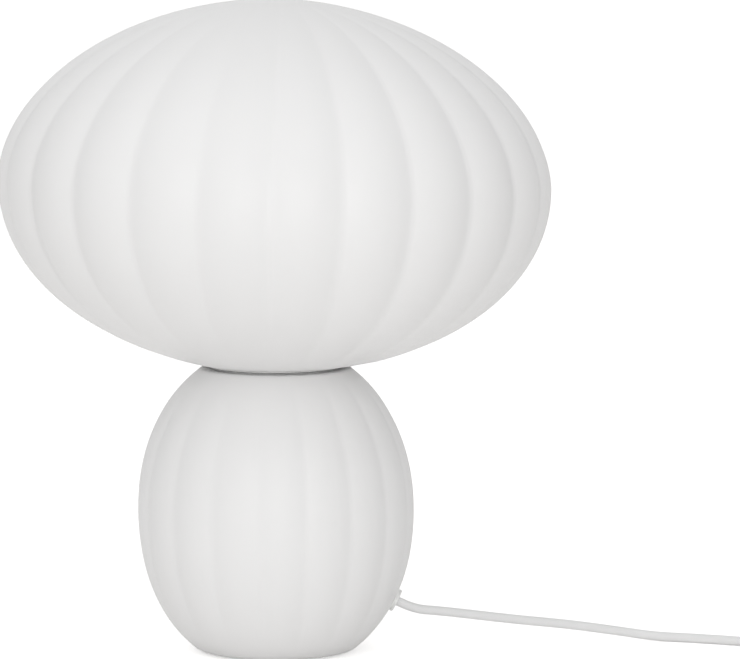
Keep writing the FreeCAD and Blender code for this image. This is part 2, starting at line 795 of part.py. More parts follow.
def make_gland(base):
    # the nut's corners meet the curved glass first, so it stands off by the height of that arc
    nut_corner = size("gland_nut_across_flats") / 2 / math.cos(math.pi / 6)
    hug = nut_corner ** 2 / (2 * size("base_radius - base_wall - gland_nut_across_flats"))
    nut_low = -size("base_wall + gland_nut_thickness") - hug
    place = gland_placement()

    face = "gland_stand_off"
    stem_low = "-(base_wall + gland_nut_thickness + gland_stem_beyond)"
    outline = [("gland_bore_radius", stem_low), ("gland_stem_radius", stem_low),
               ("gland_stem_radius", face), ("gland_flange_radius", face),
               ("gland_flange_radius", face + " + gland_flange_thickness"),
               ("gland_bore_radius", face + " + gland_flange_thickness")]
    gland = turned("cord_gland", outline)
    round_edges(gland, "gland_flange_thickness / 3",
                circle_at("gland_flange_radius", face + " + gland_flange_thickness"))
    gland.Placement = place

    deep = size("base_wall") / 2
    washer = Part.makeCylinder(size("gland_flange_radius * 0.95"), deep + size(face), Vector(0, 0, -deep))
    washer = washer.cut(Part.makeCylinder(size("gland_stem_radius + fit_gap"), 4 * deep,
                                          Vector(0, 0, -2 * deep)))
    washer.Placement = place
    washer = washer.cut(base)
    outside = max(washer.Solids, key=lambda solid: solid.CenterOfMass.x)
    add_shape("gland_washer", outside)

    nut = padded("gland_nut", hexagon("gland_nut_across_flats"), "0", "gland_nut_thickness")
    cut_pocket(nut, disc("gland_stem_radius + fit_gap"), "0", "gland_nut_thickness")
    nut.Placement = place.multiply(Placement(Vector(0, 0, nut_low), Rotation()))

    grip = padded("cord_grip", block("grip_width / 2", "grip_width / 2"), "0", "grip_length")
    cut_pocket(grip, disc("cord_diameter / 2 + fit_gap"), "0", "grip_length")
    round_edges(grip, "grip_width / 10", is_upright)
    grip_top = size(stem_low + " - 2 * fit_gap")
    grip.Placement = place.multiply(Placement(Vector(0, 0, grip_top - size("grip_length")), Rotation()))
    return grip_top - size("grip_length")


# Cord

def rounded_route(points, name):
    """Straight runs joined by tangent arcs, each as large as its two runs allow."""
    runs = [(points[index + 1] - points[index]).Length for index in range(len(points) - 1)]
    edges = []
    radii = []
    start = points[0]
    for index in range(1, len(points) - 1):
        corner = points[index]
        back = (points[index - 1] - corner).normalize()
        ahead = (points[index + 1] - corner).normalize()
        half_turn = (math.pi - back.getAngle(ahead)) / 2
        reach = 0.45 * min(runs[index - 1], runs[index])
        radius = reach / math.tan(half_turn)
        first = corner + back * reach
        last = corner + ahead * reach
        inward = (back + ahead).normalize()
        middle = corner + inward * (radius / math.cos(half_turn) - radius)
        edges.append(Part.LineSegment(start, first).toShape())
        edges.append(Part.Arc(first, middle, last).toShape())
        radii.append(radius)
        start = last
    edges.append(Part.LineSegment(start, points[-1]).toShape())
    print(name, "radii", [round(radius, 1) for radius in radii])
    return Part.Wire(edges)


def tube(label, path, diameter):
    """A round tube along a smooth path, its volume compared with section times length."""
    start = path.Edges[0]
    heading = start.tangentAt(start.FirstParameter)
    section = Part.Wire(Part.Circle(start.valueAt(start.FirstParameter), heading, diameter / 2).toShape())
    solid = path.makePipeShell([section], True, False)
    expected = math.pi * diameter ** 2 / 4 * path.Length
    print(label, "length %.1f" % path.Length, "volume ratio %.4f" % (abs(solid.Volume) / expected))
    add_shape(label, solid if solid.ShapeType == "Solid" else solid.Solids[0])


def gland_mouth():
    """The point on the gland's axis where the cord comes out."""
    point, normal = gland_axis()
    return point + normal * size("gland_stand_off + gland_flange_thickness"), normal


def make_cords(grip_end):
    diameter = size("cord_diameter")
    mouth, outward = gland_mouth()
    rise = size(PLATE_TOP + " + tube_rise")

    # inside the foot: through gland and grip, then up into the tube
    point, normal = gland_axis()
    behind = point + normal * (grip_end - 18)
    tube_low = size(PLATE + " - tube_drop")
    inside = [mouth, behind, Vector(8, 0, tube_low - 55), Vector(0, 0, tube_low - 14), Vector(0, 0, rise)]
    tube("cord_inner", rounded_route(inside, "cord_inner"), diameter)

    # the two cores, spread from the cord's end to the terminal screws
    core = size("core_diameter")
    climb = size(INSERT) - rise - size("2 * fit_gap")
    for label, side in (("wire_live", -1), ("wire_neutral", 1)):
        near = core * 0.65
        spread = size("terminal_offset - terminal_head_radius - 2 * fit_gap") - core / 2 - near
        route = [Vector(side * (near + spread * out), 0, rise + climb * up)
                 for out, up in ((0, 0), (0, 0.22), (0.26, 0.43), (0.74, 0.57), (1, 0.78), (1, 1))]
        tube(label, rounded_route(route, label), core)

    # outside: down from the gland, over the floor and into the switch
    lie = lay_height()
    entry = switch_centre() + Vector(0, size("switch_length") / 2, 0)
    lead = [mouth, mouth + outward * 10, mouth + Vector(23.5, 3.3, -6.1),
            mouth + Vector(42.5, 6.8, -8.9), Vector(133, 12, 14), Vector(160, 17.6, 10.6),
            Vector(186, 22.5, 6.3),
            Vector(208, 24.3, lie), Vector(227, 18.4, lie), Vector(248, 9.8, lie),
            Vector(266, -2, lie + 0.4), Vector(277, -16, 4.8), entry + Vector(0, 13, 0), entry]
    tube("cord_lead", rounded_route(lead, "cord_lead"), diameter)

    # from the switch to the coil
    leave = switch_centre() - Vector(0, size("switch_length") / 2, 0)
    into = coil_point(0)
    run = [leave, leave + Vector(0, -12.5, 0), Vector(286.2, -128.4, 5), Vector(295.6, -138.8, 3.9),
           Vector(308.1, -145, into.z), into + Vector(-18, 0, 0), into]
    tube("cord_run", rounded_route(run, "cord_run"), diameter)

    # from the coil to the plug
    out = coil_point(coil_turning())
    end = plug_entry()
    tail = [out, out + Vector(0, 15, 0), Vector(382.5, -73, 4.7), end + Vector(0, -15, 0), end]
    tube("cord_tail", rounded_route(tail, "cord_tail"), diameter)


def lay_height():
    """Height of the cord's centre where it lies on the floor."""
    return size("cord_diameter / 2 + cord_floor_gap")


# Coil: spirals in on the floor, climbs one layer in a half turn, and spirals out again

COIL_CENTRE = Vector(340, -106, 0)
COIL_START = -90


def coil_turning():
    """The whole angle that the coil's centreline turns, in radians."""
    return 2 * math.pi * 2 * size("coil_turns_per_layer") + math.pi


def coil_point(turned_by):
    """A point of the coil's centreline after the given angle from its start."""
    layer_turning = 2 * math.pi * size("coil_turns_per_layer")
    rate = size("coil_pitch") / (2 * math.pi)
    inner = size("coil_inner_radius")
    low = lay_height() + size("tie_thickness") + 0.1
    step = size("coil_layer_step")
    past = turned_by - layer_turning
    if past < 0:
        radius, height = inner - rate * past, low
    elif past < math.pi:
        radius = inner - rate * (past - past ** 2 / math.pi)
        share = past / math.pi
        height = low + step * (3 * share ** 2 - 2 * share ** 3)
    else:
        radius, height = inner + rate * (past - math.pi), low + step
    angle = math.radians(COIL_START) + turned_by
    return COIL_CENTRE + Vector(radius * math.cos(angle), radius * math.sin(angle), height)


def coil_heading(turned_by):
    """The centreline's direction, square to what the cord meets at both ends."""
    end = coil_turning()
    if turned_by <= 0 or turned_by >= end:
        angle = math.radians(COIL_START) + turned_by + math.pi / 2
        return Vector(math.cos(angle), math.sin(angle), 0)
    small = 1e-4
    return (coil_point(turned_by + small) - coil_point(turned_by - small)).normalize()


def biarc(start, heading, end, end_heading):
    """Two tangent arcs from start to end that leave and arrive along the given headings."""
    across = end - start
    total = heading + end_heading
    square = 2 * (1 - heading.dot(end_heading))
    along = across.dot(total)
    reach = (-along + math.sqrt(along ** 2 + square * across.dot(across))) / square
    joint = (start + heading * reach + end - end_heading * reach) * 0.5
    return [arc_from(start, heading, joint), arc_from(end, -end_heading, joint)]


def arc_from(start, heading, end):
    """The arc that leaves start along heading and passes through end."""
    chord = end - start
    half_chord = chord.Length / 2
    bend = heading.getAngle(chord)
    side = (heading - chord * (heading.dot(chord) / chord.dot(chord))).normalize()
    middle = start + chord * 0.5 + side * half_chord * math.tan(bend / 2)
    return Part.Arc(start, middle, end).toShape()


def make_coil():
    end = coil_turning()
    steps = int(round(end / (math.pi / 2)))
    spots = [end * step / steps for step in range(steps + 1)]
    edges = []
    for first, last in zip(spots[:-1], spots[1:]):
        edges += biarc(coil_point(first), coil_heading(first), coil_point(last), coil_heading(last))
    path = Part.Wire(Part.__sortEdges__(edges))
    tube("cord_coil", path, size("cord_diameter"))
    print("cord_coil least gap %.2f" % least_gap(end))


def least_gap(end):
    """Least gap between the coil's turns, measured between points of the centreline."""
    count = 900
    spots = [coil_point(end * index / count) for index in range(count + 1)]
    apart = int(count * math.pi / end)
    least = min((spots[first] - spots[last]).Length
                for first in range(0, count + 1, 2) for last in range(first + apart, count + 1))
    return least - size("cord_diameter")


def make_tie():
    """Band round all the turns at one side of the coil."""
    radius = size("cord_diameter") / 2
    gap = size("tie_gap")
    thick = size("tie_thickness")
    outermost = size("coil_inner_radius") + size("coil_pitch * coil_turns_per_layer")
    low = size("coil_inner_radius") - radius - gap
    high = outermost + radius + gap
    floor = size("cord_floor_gap") + thick
    roof = coil_point(coil_turning()).z + radius + gap / 3
    width = size("tie_width")
    hole = Part.makeBox(high - low, 2 * width, roof - floor, Vector(low, -width, floor))
    band = Part.makeBox(high - low + 2 * thick, width, roof - floor + 2 * thick,
                        Vector(low - thick, -width / 2, floor - thick))
    corner = size("tie_corner_radius")
    band = band.makeFillet(corner, [edge for edge in band.Edges if edge.BoundBox.YLength > 0.9 * width])
    hole = hole.makeFillet(corner - thick, [edge for edge in hole.Edges if edge.BoundBox.YLength > width])
    band = band.cut(hole)
    band.rotate(Vector(0, 0, 0), Vector(0, 0, 1), size("tie_angle"))
    band.translate(COIL_CENTRE)
    add_shape("coil_tie", band.Solids[0])


# Switch on the cord, drawn along X and turned to lie along Y

SWITCH_SPOT = Vector(282, -73, 0)


def switch_centre():
    return SWITCH_SPOT + Vector(0, 0, size("switch_floor_gap + switch_parting"))


def switch_placement():
    return Placement(SWITCH_SPOT + Vector(0, 0, size("switch_floor_gap")),
                     Rotation(Vector(0, 0, 1), -90))


def rounded_block(label, low, height):
    """Half of the switch's case, with round ends."""
    body = padded(label, block("switch_length / 2", "switch_width / 2"), low, height)
    round_edges(body, "switch_width / 3", is_upright)
    return body


def make_switch():
    inside = cut_block("switch_length / 2 - switch_wall", "switch_width / 2 - switch_wall",
                       "switch_width / 5")
    roof = "switch_height - switch_wall"

    def posts(radius):
        def draw(sketch):
            draw_circle(sketch, "switch_screw_x", "switch_screw_y", radius)
            draw_circle(sketch, "-switch_screw_x", "-switch_screw_y", radius)
        return draw

    base = rounded_block("switch_base", "0", "switch_parting")
    cut_pocket(base, inside, "switch_wall", "switch_parting - switch_wall")
    add_pad(base, posts("switch_post_radius"), "switch_wall", "switch_parting - switch_wall")
    cut_pocket(base, posts("switch_screw_radius + fit_gap"), "0", "switch_parting")
    cut_pocket(base, posts("switch_screw_radius * 2 + fit_gap"), "0", "switch_screw_recess")
    round_edges(base, "switch_wall / 2", lambda edge: lies_at(edge, "0") and on_case_outline(edge))

    cover = rounded_block("switch_cover", "switch_parting", "switch_height - switch_parting")
    cut_pocket(cover, inside, "switch_parting", roof + " - switch_parting")
    window = block("rocker_length / 2 + rocker_end_gap", "rocker_width / 2 + rocker_gap")
    cut_pocket(cover, window, roof, "switch_wall")
    add_pad(cover, posts("switch_post_radius"), "switch_parting", roof + " - switch_parting")

    # ears that hold the rocker's pin
    ear_low = "rocker_pivot_height - ear_drop"

    def ears(sketch):
        near = "(rocker_width / 2 + rocker_gap)"
        far = "(rocker_width / 2 + rocker_gap + ear_thickness)"
        draw_outline(sketch, box_corners("-ear_half", "ear_half", near, far))
        draw_outline(sketch, box_corners("-ear_half", "ear_half", "-" + far, "-" + near))
    add_pad(cover, ears, ear_low, roof + " - (" + ear_low + ")")
    sketch = new_sketch(cover, "XZ_Plane", "-switch_width / 4 - ear_thickness")
    draw_circle(sketch, "0", "rocker_pivot_height", "pin_radius + fit_gap")
    add_feature(cover, "Pocket", sketch, "switch_width / 2 + 2 * ear_thickness", upwards=True)
    cut_pocket(cover, posts("switch_screw_radius + fit_gap"), "switch_parting", "switch_screw_hold")
    round_edges(cover, "1.5 * switch_wall", lambda edge: lies_at(edge, "switch_height") and on_case_outline(edge))

    make_rocker()
    pin_length = "rocker_width + 2 * rocker_gap + 1.9 * ear_thickness"
    pin = cylinder("switch_pin", "pin_radius", pin_length)
    turn = Placement(Vector(0, size(pin_length) / 2, size("rocker_pivot_height")),
                     Rotation(Vector(1, 0, 0), 90))
    pin.Placement = switch_placement().multiply(turn)

    screws = []
    for side in (-1, 1):
        screw = doc.addObject("Part::Fuse", "case_screw")
        screw.Base = cylinder("case_shank", "switch_screw_radius",
                              "switch_parting + switch_screw_hold - 4 * fit_gap", False)
        screw.Tool = cylinder("case_head", "switch_screw_radius * 2",
                              "switch_screw_recess - 2 * fit_gap", False)
        spot = Vector(side * size("switch_screw_x"), side * size("switch_screw_y"), size("2 * fit_gap"))
        screw.Placement = switch_placement().multiply(Placement(spot, Rotation()))
        screws.append(screw)
    group("switch_screws", screws)

    # two bent strips on the floor that reach up under the rocker's keel
    strips = []
    floor = size("switch_wall")
    near = size("rocker_keel_half") + 1
    width = size("rocker_width") / 2
    thickness = size("contact_thickness")
    for turn in (0, 180):
        corner = Vector(near, -width / 2, floor)
        foot = Part.makeBox(size("switch_contact_reach") - near, width, thickness, corner)
        post = Part.makeBox(thickness, width, size("switch_contact_top") - floor, corner)
        strip = foot.fuse(post)
        strip.rotate(Vector(0, 0, 0), Vector(0, 0, 1), turn)
        strips.append(strip)
    contacts = add_shape("switch_contacts", Part.makeCompound(strips))
    contacts.Placement = switch_placement()
    for body in (base, cover):
        body.Placement = switch_placement()


def lies_at(edge, height):
    """True for an edge that lies flat at the given height."""
    box = edge.BoundBox
    return box.ZLength < 0.01 and abs(box.ZMin - size(height)) < 0.01


def on_case_outline(edge):
    """True for an edge that reaches the outside of the switch's case."""
    box = edge.BoundBox
    across = max(box.XMax, -box.XMin) - size("switch_length / 2")
    along = max(box.YMax, -box.YMin) - size("switch_width / 2")
    return abs(across) < 0.01 or abs(along) < 0.01


def make_rocker():
    """Two sloping faces that meet in a shallow valley, tipped to OFF."""
    body = new_body("switch_rocker")
    sketch = new_sketch(body, "XZ_Plane", "-rocker_width / 2")
    half = "rocker_length / 2"
    crown = "switch_height + rocker_rise"
    keel = "rocker_pivot_height - rocker_keel_drop"
    draw_outline(sketch, [("-" + half, "rocker_pivot_height"), ("-rocker_keel_half", keel),
                          ("rocker_keel_half", keel), (half, "rocker_pivot_height"),
                          (half, crown), ("0", crown + " - rocker_valley"), ("-" + half, crown)])
    draw_circle(sketch, "0", "rocker_pivot_height", "pin_radius + pin_play")
    add_feature(body, "Pad", sketch, "rocker_width")
    round_edges(body, "rocker_valley / 2", lambda edge: lies_at(edge, crown) and
                edge.BoundBox.YLength > 0.9 * size("rocker_width"))
    pivot = Vector(0, 0, size("rocker_pivot_height"))
    tip = Placement(Vector(0, 0, 0), Rotation(Vector(0, 1, 0), -size("rocker_tilt")), pivot)
    body.Placement = switch_placement().multiply(tip)


# Flat plug, drawn along X with the cord at zero and turned to lie along Y

PLUG_SPOT = Vector(384, -40, 0)


def plug_entry():
    return PLUG_SPOT + Vector(0, 0, size("plug_thickness / 2 + plug_floor_gap"))


def make_plug():
    place = Placement(PLUG_SPOT + Vector(0, 0, size("plug_floor_gap")), Rotation(Vector(0, 0, 1), 90))
    wide = "plug_half_width"
    waist = "plug_waist_half_width"
    nose = "(plug_half_width - plug_nose_slope)"
    outline = [("0", "-plug_neck_half_width"), ("plug_length * 0.3", "-" + waist),
               ("plug_length * 0.5", "-" + wide), ("plug_length * 0.85", "-" + wide),
               ("plug_length", "-" + nose), ("plug_length", nose), ("plug_length * 0.85", wide),
               ("plug_length * 0.5", wide), ("plug_length * 0.3", waist),
               ("0", "plug_neck_half_width")]
    body = padded("plug_body", lambda sketch: draw_outline(sketch, outline), "0", "plug_thickness")
    round_edges(body, "plug_nose_slope * 0.6", is_upright)
    round_edges(body, "plug_nose_slope * 0.48", lambda edge: lies_at(edge, "0") or
                lies_at(edge, "plug_thickness"))
    sketch = new_sketch(body, "YZ_Plane", "plug_length - plug_pin_depth")
    for side in ("-", ""):
        draw_circle(sketch, side + "plug_pin_spacing / 2", "plug_thickness / 2",
                    "plug_pin_core_radius + fit_gap")
    add_feature(body, "Pocket", sketch, "plug_pin_depth + 1", upwards=True)
    body.Placement = place

    pins = []
    sleeves = []
    for side in (-1, 1):
        spot = Vector(size("plug_length"), side * size("plug_pin_spacing") / 2,
                      size("plug_thickness") / 2)
        along = place.multiply(Placement(spot, Rotation(Vector(0, 1, 0), 90)))
        core = cylinder("pin_core", "plug_pin_core_radius", "plug_pin_depth + plug_pin_length - 1", False)
        core.Placement = along.multiply(Placement(Vector(0, 0, -size("plug_pin_depth")), Rotation()))
        tip = cylinder("pin_tip", "plug_pin_radius", "plug_pin_length - plug_sleeve_length", False)
        tip.Placement = along.multiply(Placement(Vector(0, 0, size("plug_sleeve_length")), Rotation()))
        pin = doc.addObject("Part::Fuse", "plug_pin")
        pin.Base = core
        pin.Tool = tip
        pins.append(pin)
        cover = cylinder("sleeve_outside", "plug_pin_radius", "plug_sleeve_length - fit_gap", False)
        cover.Placement = along
        bore = cylinder("sleeve_bore", "plug_pin_core_radius + fit_gap", "plug_sleeve_length", False)
        bore.Placement = along
        sleeve = doc.addObject("Part::Cut", "plug_sleeve")
        sleeve.Base = cover
        sleeve.Tool = bore
        sleeves.append(sleeve)
    doc.recompute()
    group("plug_pins", pins)
    group("plug_sleeves", sleeves)


def check_and_write():
    doc.recompute()
    for item in doc.Objects:
        if "Invalid" in item.State or "Error" in item.State:
            raise ValueError(item.Label + " failed: " + str(item.State))
    os.makedirs("parts", exist_ok=True)
    for piece in pieces:
        shape = piece.Shape
        if shape.isNull() or not shape.isValid() or not shape.Solids:
            raise ValueError(piece.Label + " has no valid solid")
        shape.exportStep("parts/" + piece.Label + ".step")
        print("%-18s %2d solids %9.1f mm3" % (piece.Label, len(shape.Solids), shape.Volume))


fill_sheet()
make_shade()
glass = make_base()
make_stack()
make_holder()
make_bulb()
grip_back = make_gland(glass)
make_cords(grip_back)
make_coil()
make_tie()
make_switch()
make_plug()
check_and_write()
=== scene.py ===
import json
import math

import bmesh
import bpy
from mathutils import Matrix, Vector
from mathutils.bvhtree import BVHTree


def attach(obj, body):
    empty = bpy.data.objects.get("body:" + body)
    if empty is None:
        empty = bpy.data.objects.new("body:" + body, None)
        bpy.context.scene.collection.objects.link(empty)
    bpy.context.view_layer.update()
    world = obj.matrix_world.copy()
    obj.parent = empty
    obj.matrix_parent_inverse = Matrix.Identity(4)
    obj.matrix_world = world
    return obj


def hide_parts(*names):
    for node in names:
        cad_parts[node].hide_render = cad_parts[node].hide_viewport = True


# Table lamp of two pieces of lobed opal glass, with its lampholder, bulb, braided cord, switch
# and plug. Sizes in this script are in millimetres, as in the part's source, until mm() turns
# them into metres.

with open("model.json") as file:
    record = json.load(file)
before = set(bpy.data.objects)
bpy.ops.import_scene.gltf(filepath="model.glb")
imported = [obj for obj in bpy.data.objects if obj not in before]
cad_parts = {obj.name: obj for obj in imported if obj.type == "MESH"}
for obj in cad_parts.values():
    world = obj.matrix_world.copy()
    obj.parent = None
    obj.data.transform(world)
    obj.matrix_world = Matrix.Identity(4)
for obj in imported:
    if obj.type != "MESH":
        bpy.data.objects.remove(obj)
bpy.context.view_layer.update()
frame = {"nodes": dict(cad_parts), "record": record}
scene = bpy.context.scene
nodes = frame["nodes"]

MM = 0.001


def mm(*place):
    """A point given in millimetres, in metres."""
    return Vector(place) * MM


# Levels of the lamp, as in the part's source

BASE_TOP = 155.1
BASE_FOOT = 1
BASE_LIP_UNDER = BASE_TOP - 4
PLATE_LOW = BASE_TOP + 0.3
PLATE_HIGH = PLATE_LOW + 0.6
SEAT = PLATE_HIGH + 0.6
TUBE_LOW = PLATE_LOW - 17
TUBE_HIGH = PLATE_HIGH + 9
INSERT_LOW = PLATE_HIGH + 21
SOCKET_FLOOR = INSERT_LOW + 5
BULB_CAP_LOW = SOCKET_FLOOR + 7.1
BULB_CAP_HIGH = BULB_CAP_LOW + 21


# Camera: three metres in front of the lamp, a little above it

EYE_DISTANCE = 3000
EYE_ELEVATION = math.radians(6.09)
PIXELS_PER_MM = 1.843
PICTURE_WIDTH = 740
SENSOR_WIDTH = 36
MIDDLE_HEIGHT = 180
# the lamp stands left of the picture's middle
AIM = (51.3, 0, 175.5)


def place_camera():
    """The camera at the photo's distance, height and framing."""
    backwards = Vector((0, -math.cos(EYE_ELEVATION), math.sin(EYE_ELEVATION)))
    camera = bpy.data.cameras.new("Camera")
    camera.sensor_width = SENSOR_WIDTH
    camera.lens = PIXELS_PER_MM * EYE_DISTANCE / PICTURE_WIDTH * SENSOR_WIDTH
    camera.clip_end = 30
    eye = bpy.data.objects.new("Camera", camera)
    eye.location = mm(0, 0, MIDDLE_HEIGHT) + backwards * EYE_DISTANCE * MM
    eye.rotation_euler = (mm(*AIM) - eye.location).to_track_quat("-Z", "Y").to_euler()
    scene.collection.objects.link(eye)
    scene.camera = eye


# Node helpers

def feed(tree, socket, value):
    """Links the output of another node to a socket, or sets the socket to a constant."""
    if isinstance(value, bpy.types.NodeSocket):
        tree.links.new(value, socket)
    else:
        socket.default_value = value


def put(tree, kind, settings=None, **inputs):
    """A node with its settings and inputs. Input names use _ for spaces."""
    node = tree.nodes.new(kind)
    for name, value in (settings or {}).items():
        setattr(node, name, value)
    for name, value in inputs.items():
        label = name.replace("_", " ")
        feed(tree, next(item for item in node.inputs if item.name == label and item.enabled), value)
    return node


def maths(tree, operation, *values):
    """The output of a math node."""
    node = put(tree, "ShaderNodeMath", {"operation": operation})
    for socket, value in zip(node.inputs, values):
        feed(tree, socket, value)
    return node.outputs[0]


def live_output(node):
    """The one output in use, on a node that has one for each kind of value."""
    return next(item for item in node.outputs if item.enabled)


def blend(tree, share, first, second):
    """The output of a node that mixes two colours."""
    node = put(tree, "ShaderNodeMix", {"data_type": "RGBA"}, Factor=share)
    sockets = [item for item in node.inputs if item.enabled]
    feed(tree, sockets[1], first)
    feed(tree, sockets[2], second)
    return live_output(node)


# Shader groups, which give only colours, numbers and heights

# how many times finer the fine changes are than the slow ones
FINE_GRAIN = 22
# threads each way round the braid
THREADS = 12


def new_group(name, inputs, outputs):
    """A shader node group with its sockets, and the nodes that carry them."""
    group = bpy.data.node_groups.new(name, "ShaderNodeTree")
    for label, kind, value in inputs:
        socket = group.interface.new_socket(label, in_out="INPUT", socket_type="NodeSocket" + kind)
        if value is not None:
            socket.default_value = value
    for label, kind in outputs:
        group.interface.new_socket(label, in_out="OUTPUT", socket_type="NodeSocket" + kind)
    return group, group.nodes.new("NodeGroupInput").outputs, group.nodes.new("NodeGroupOutput").inputs


def vary_group():
    """Slow and fine changes of colour and gloss, as any real surface has."""
    group, source, end = new_group(
        "Surface variation",
        [("Vector", "Vector", None), ("Colour", "Color", (1, 1, 1, 1)), ("Tint", "Color", (1, 1, 1, 1)),
         ("Amount", "Float", 0.5), ("Scale", "Float", 30.0), ("Roughness", "Float", 0.5),
         ("Spread", "Float", 0.1)],
        [("Colour", "Color"), ("Roughness", "Float"), ("Height", "Float")])
    slow = put(group, "ShaderNodeTexNoise", Vector=source["Vector"], Scale=source["Scale"], Detail=4.0,
               Roughness=0.6)
    fine_scale = maths(group, "MULTIPLY", source["Scale"], FINE_GRAIN)
    fine = put(group, "ShaderNodeTexNoise", Vector=source["Vector"], Scale=fine_scale, Detail=2.0,
               Roughness=0.5)
    share = maths(group, "MULTIPLY", slow.outputs[0], source["Amount"])
    feed(group, end["Colour"], blend(group, share, source["Colour"], source["Tint"]))
    offset = maths(group, "SUBTRACT", fine.outputs[0], 0.5)
    feed(group, end["Roughness"],
         maths(group, "MULTIPLY_ADD", offset, source["Spread"], source["Roughness"]))
    feed(group, end["Height"], maths(group, "ADD", fine.outputs[0], slow.outputs[0]))
    return group


def braid_group():
    """Crossing threads of a braided sleeve, from a UV map in turns round and girths along."""
    group, source, end = new_group(
        "Braid", [("UV", "Vector", None), ("Threads", "Float", THREADS)],
        [("Height", "Float"), ("Gap shade", "Float")])
    split = put(group, "ShaderNodeSeparateXYZ", Vector=source["UV"])
    around, along = split.outputs[0], split.outputs[1]

    def wave(value, turn):
        return maths(group, "COSINE", maths(group, "MULTIPLY", value, turn))

    right = maths(group, "MULTIPLY", maths(group, "ADD", around, along), source["Threads"])
    left = maths(group, "MULTIPLY", maths(group, "SUBTRACT", around, along), source["Threads"])
    crowns = [maths(group, "MULTIPLY_ADD", wave(lay, 2 * math.pi), 0.5, 0.5) for lay in (right, left)]
    # where threads cross, one lies over the other in turn
    over = maths(group, "MULTIPLY", wave(maths(group, "ADD", right, left), math.pi),
                 wave(maths(group, "SUBTRACT", right, left), math.pi))
    share = maths(group, "MULTIPLY_ADD", over, 0.5, 0.5)
    first = maths(group, "MULTIPLY", crowns[0], share)
    second = maths(group, "MULTIPLY", crowns[1], maths(group, "SUBTRACT", 1.0, share))
    height = maths(group, "MAXIMUM", first, second)
    filled = maths(group, "MINIMUM", maths(group, "MULTIPLY", height, 2.0), 1.0)
    feed(group, end["Height"], height)
    # painted shade: 1 in the gaps between threads, where the colour is made darker
    feed(group, end["Gap shade"], maths(group, "SUBTRACT", 1.0, filled))
    return group


VARY = vary_group()
BRAID = braid_group()


# Materials

def new_material(name):
    """A material with its tree, its Principled shader and its coordinates."""
    material = bpy.data.materials.new(name)
    material.use_nodes = True
    tree = material.node_tree
    tree.nodes.clear()
    shader = put(tree, "ShaderNodeBsdfPrincipled")
    put(tree, "ShaderNodeOutputMaterial", Surface=shader.outputs[0])
    return material, tree, shader, tree.nodes.new("ShaderNodeTexCoord").outputs


def finish(name, colour, tint, amount=0.5, scale=30.0, rough=0.5, spread=0.1, bump=0.1,
           depth=0.0002, metal=0.0, **constants):
    """A material whose colour and gloss vary a little over the surface."""
    material, tree, shader, place = new_material(name)
    varied = put(tree, "ShaderNodeGroup", {"node_tree": VARY}, Vector=place["Object"],
                 Colour=(*colour, 1), Tint=(*tint, 1), Amount=amount, Scale=scale, Roughness=rough,
                 Spread=spread)
    feed(tree, shader.inputs["Base Color"], varied.outputs["Colour"])
    feed(tree, shader.inputs["Roughness"], varied.outputs["Roughness"])
    relief = put(tree, "ShaderNodeBump", Strength=bump, Distance=depth, Height=varied.outputs["Height"])
    feed(tree, shader.inputs["Normal"], relief.outputs[0])
    feed(tree, shader.inputs["Metallic"], metal)
    for label, value in constants.items():
        feed(tree, shader.inputs[label.replace("_", " ")], value)
    return material


def braided_material():
    """White textile braid over the cord, with painted shade darkening the gaps between its threads."""
    material, tree, shader, place = new_material("cord_braid")
    braid = put(tree, "ShaderNodeGroup", {"node_tree": BRAID}, UV=place["UV"], Threads=THREADS)
    fibre = put(tree, "ShaderNodeTexNoise", Vector=place["Object"], Scale=2500.0, Detail=2.0)
    # fibre noise varies the tone at random, and the gaps between threads get painted shade in a darker grey
    shade = maths(tree, "MULTIPLY_ADD", fibre.outputs[0], 0.3, braid.outputs["Gap shade"])
    feed(tree, shader.inputs["Base Color"],
         blend(tree, shade, (0.97, 0.97, 0.965, 1), (0.55, 0.55, 0.56, 1)))
    relief = put(tree, "ShaderNodeBump", Strength=0.5, Distance=0.0002, Height=braid.outputs["Height"])
    feed(tree, shader.inputs["Normal"], relief.outputs[0])
    feed(tree, shader.inputs["Roughness"], 0.75)
    feed(tree, shader.inputs["Sheen Weight"], 0.3)
    return material


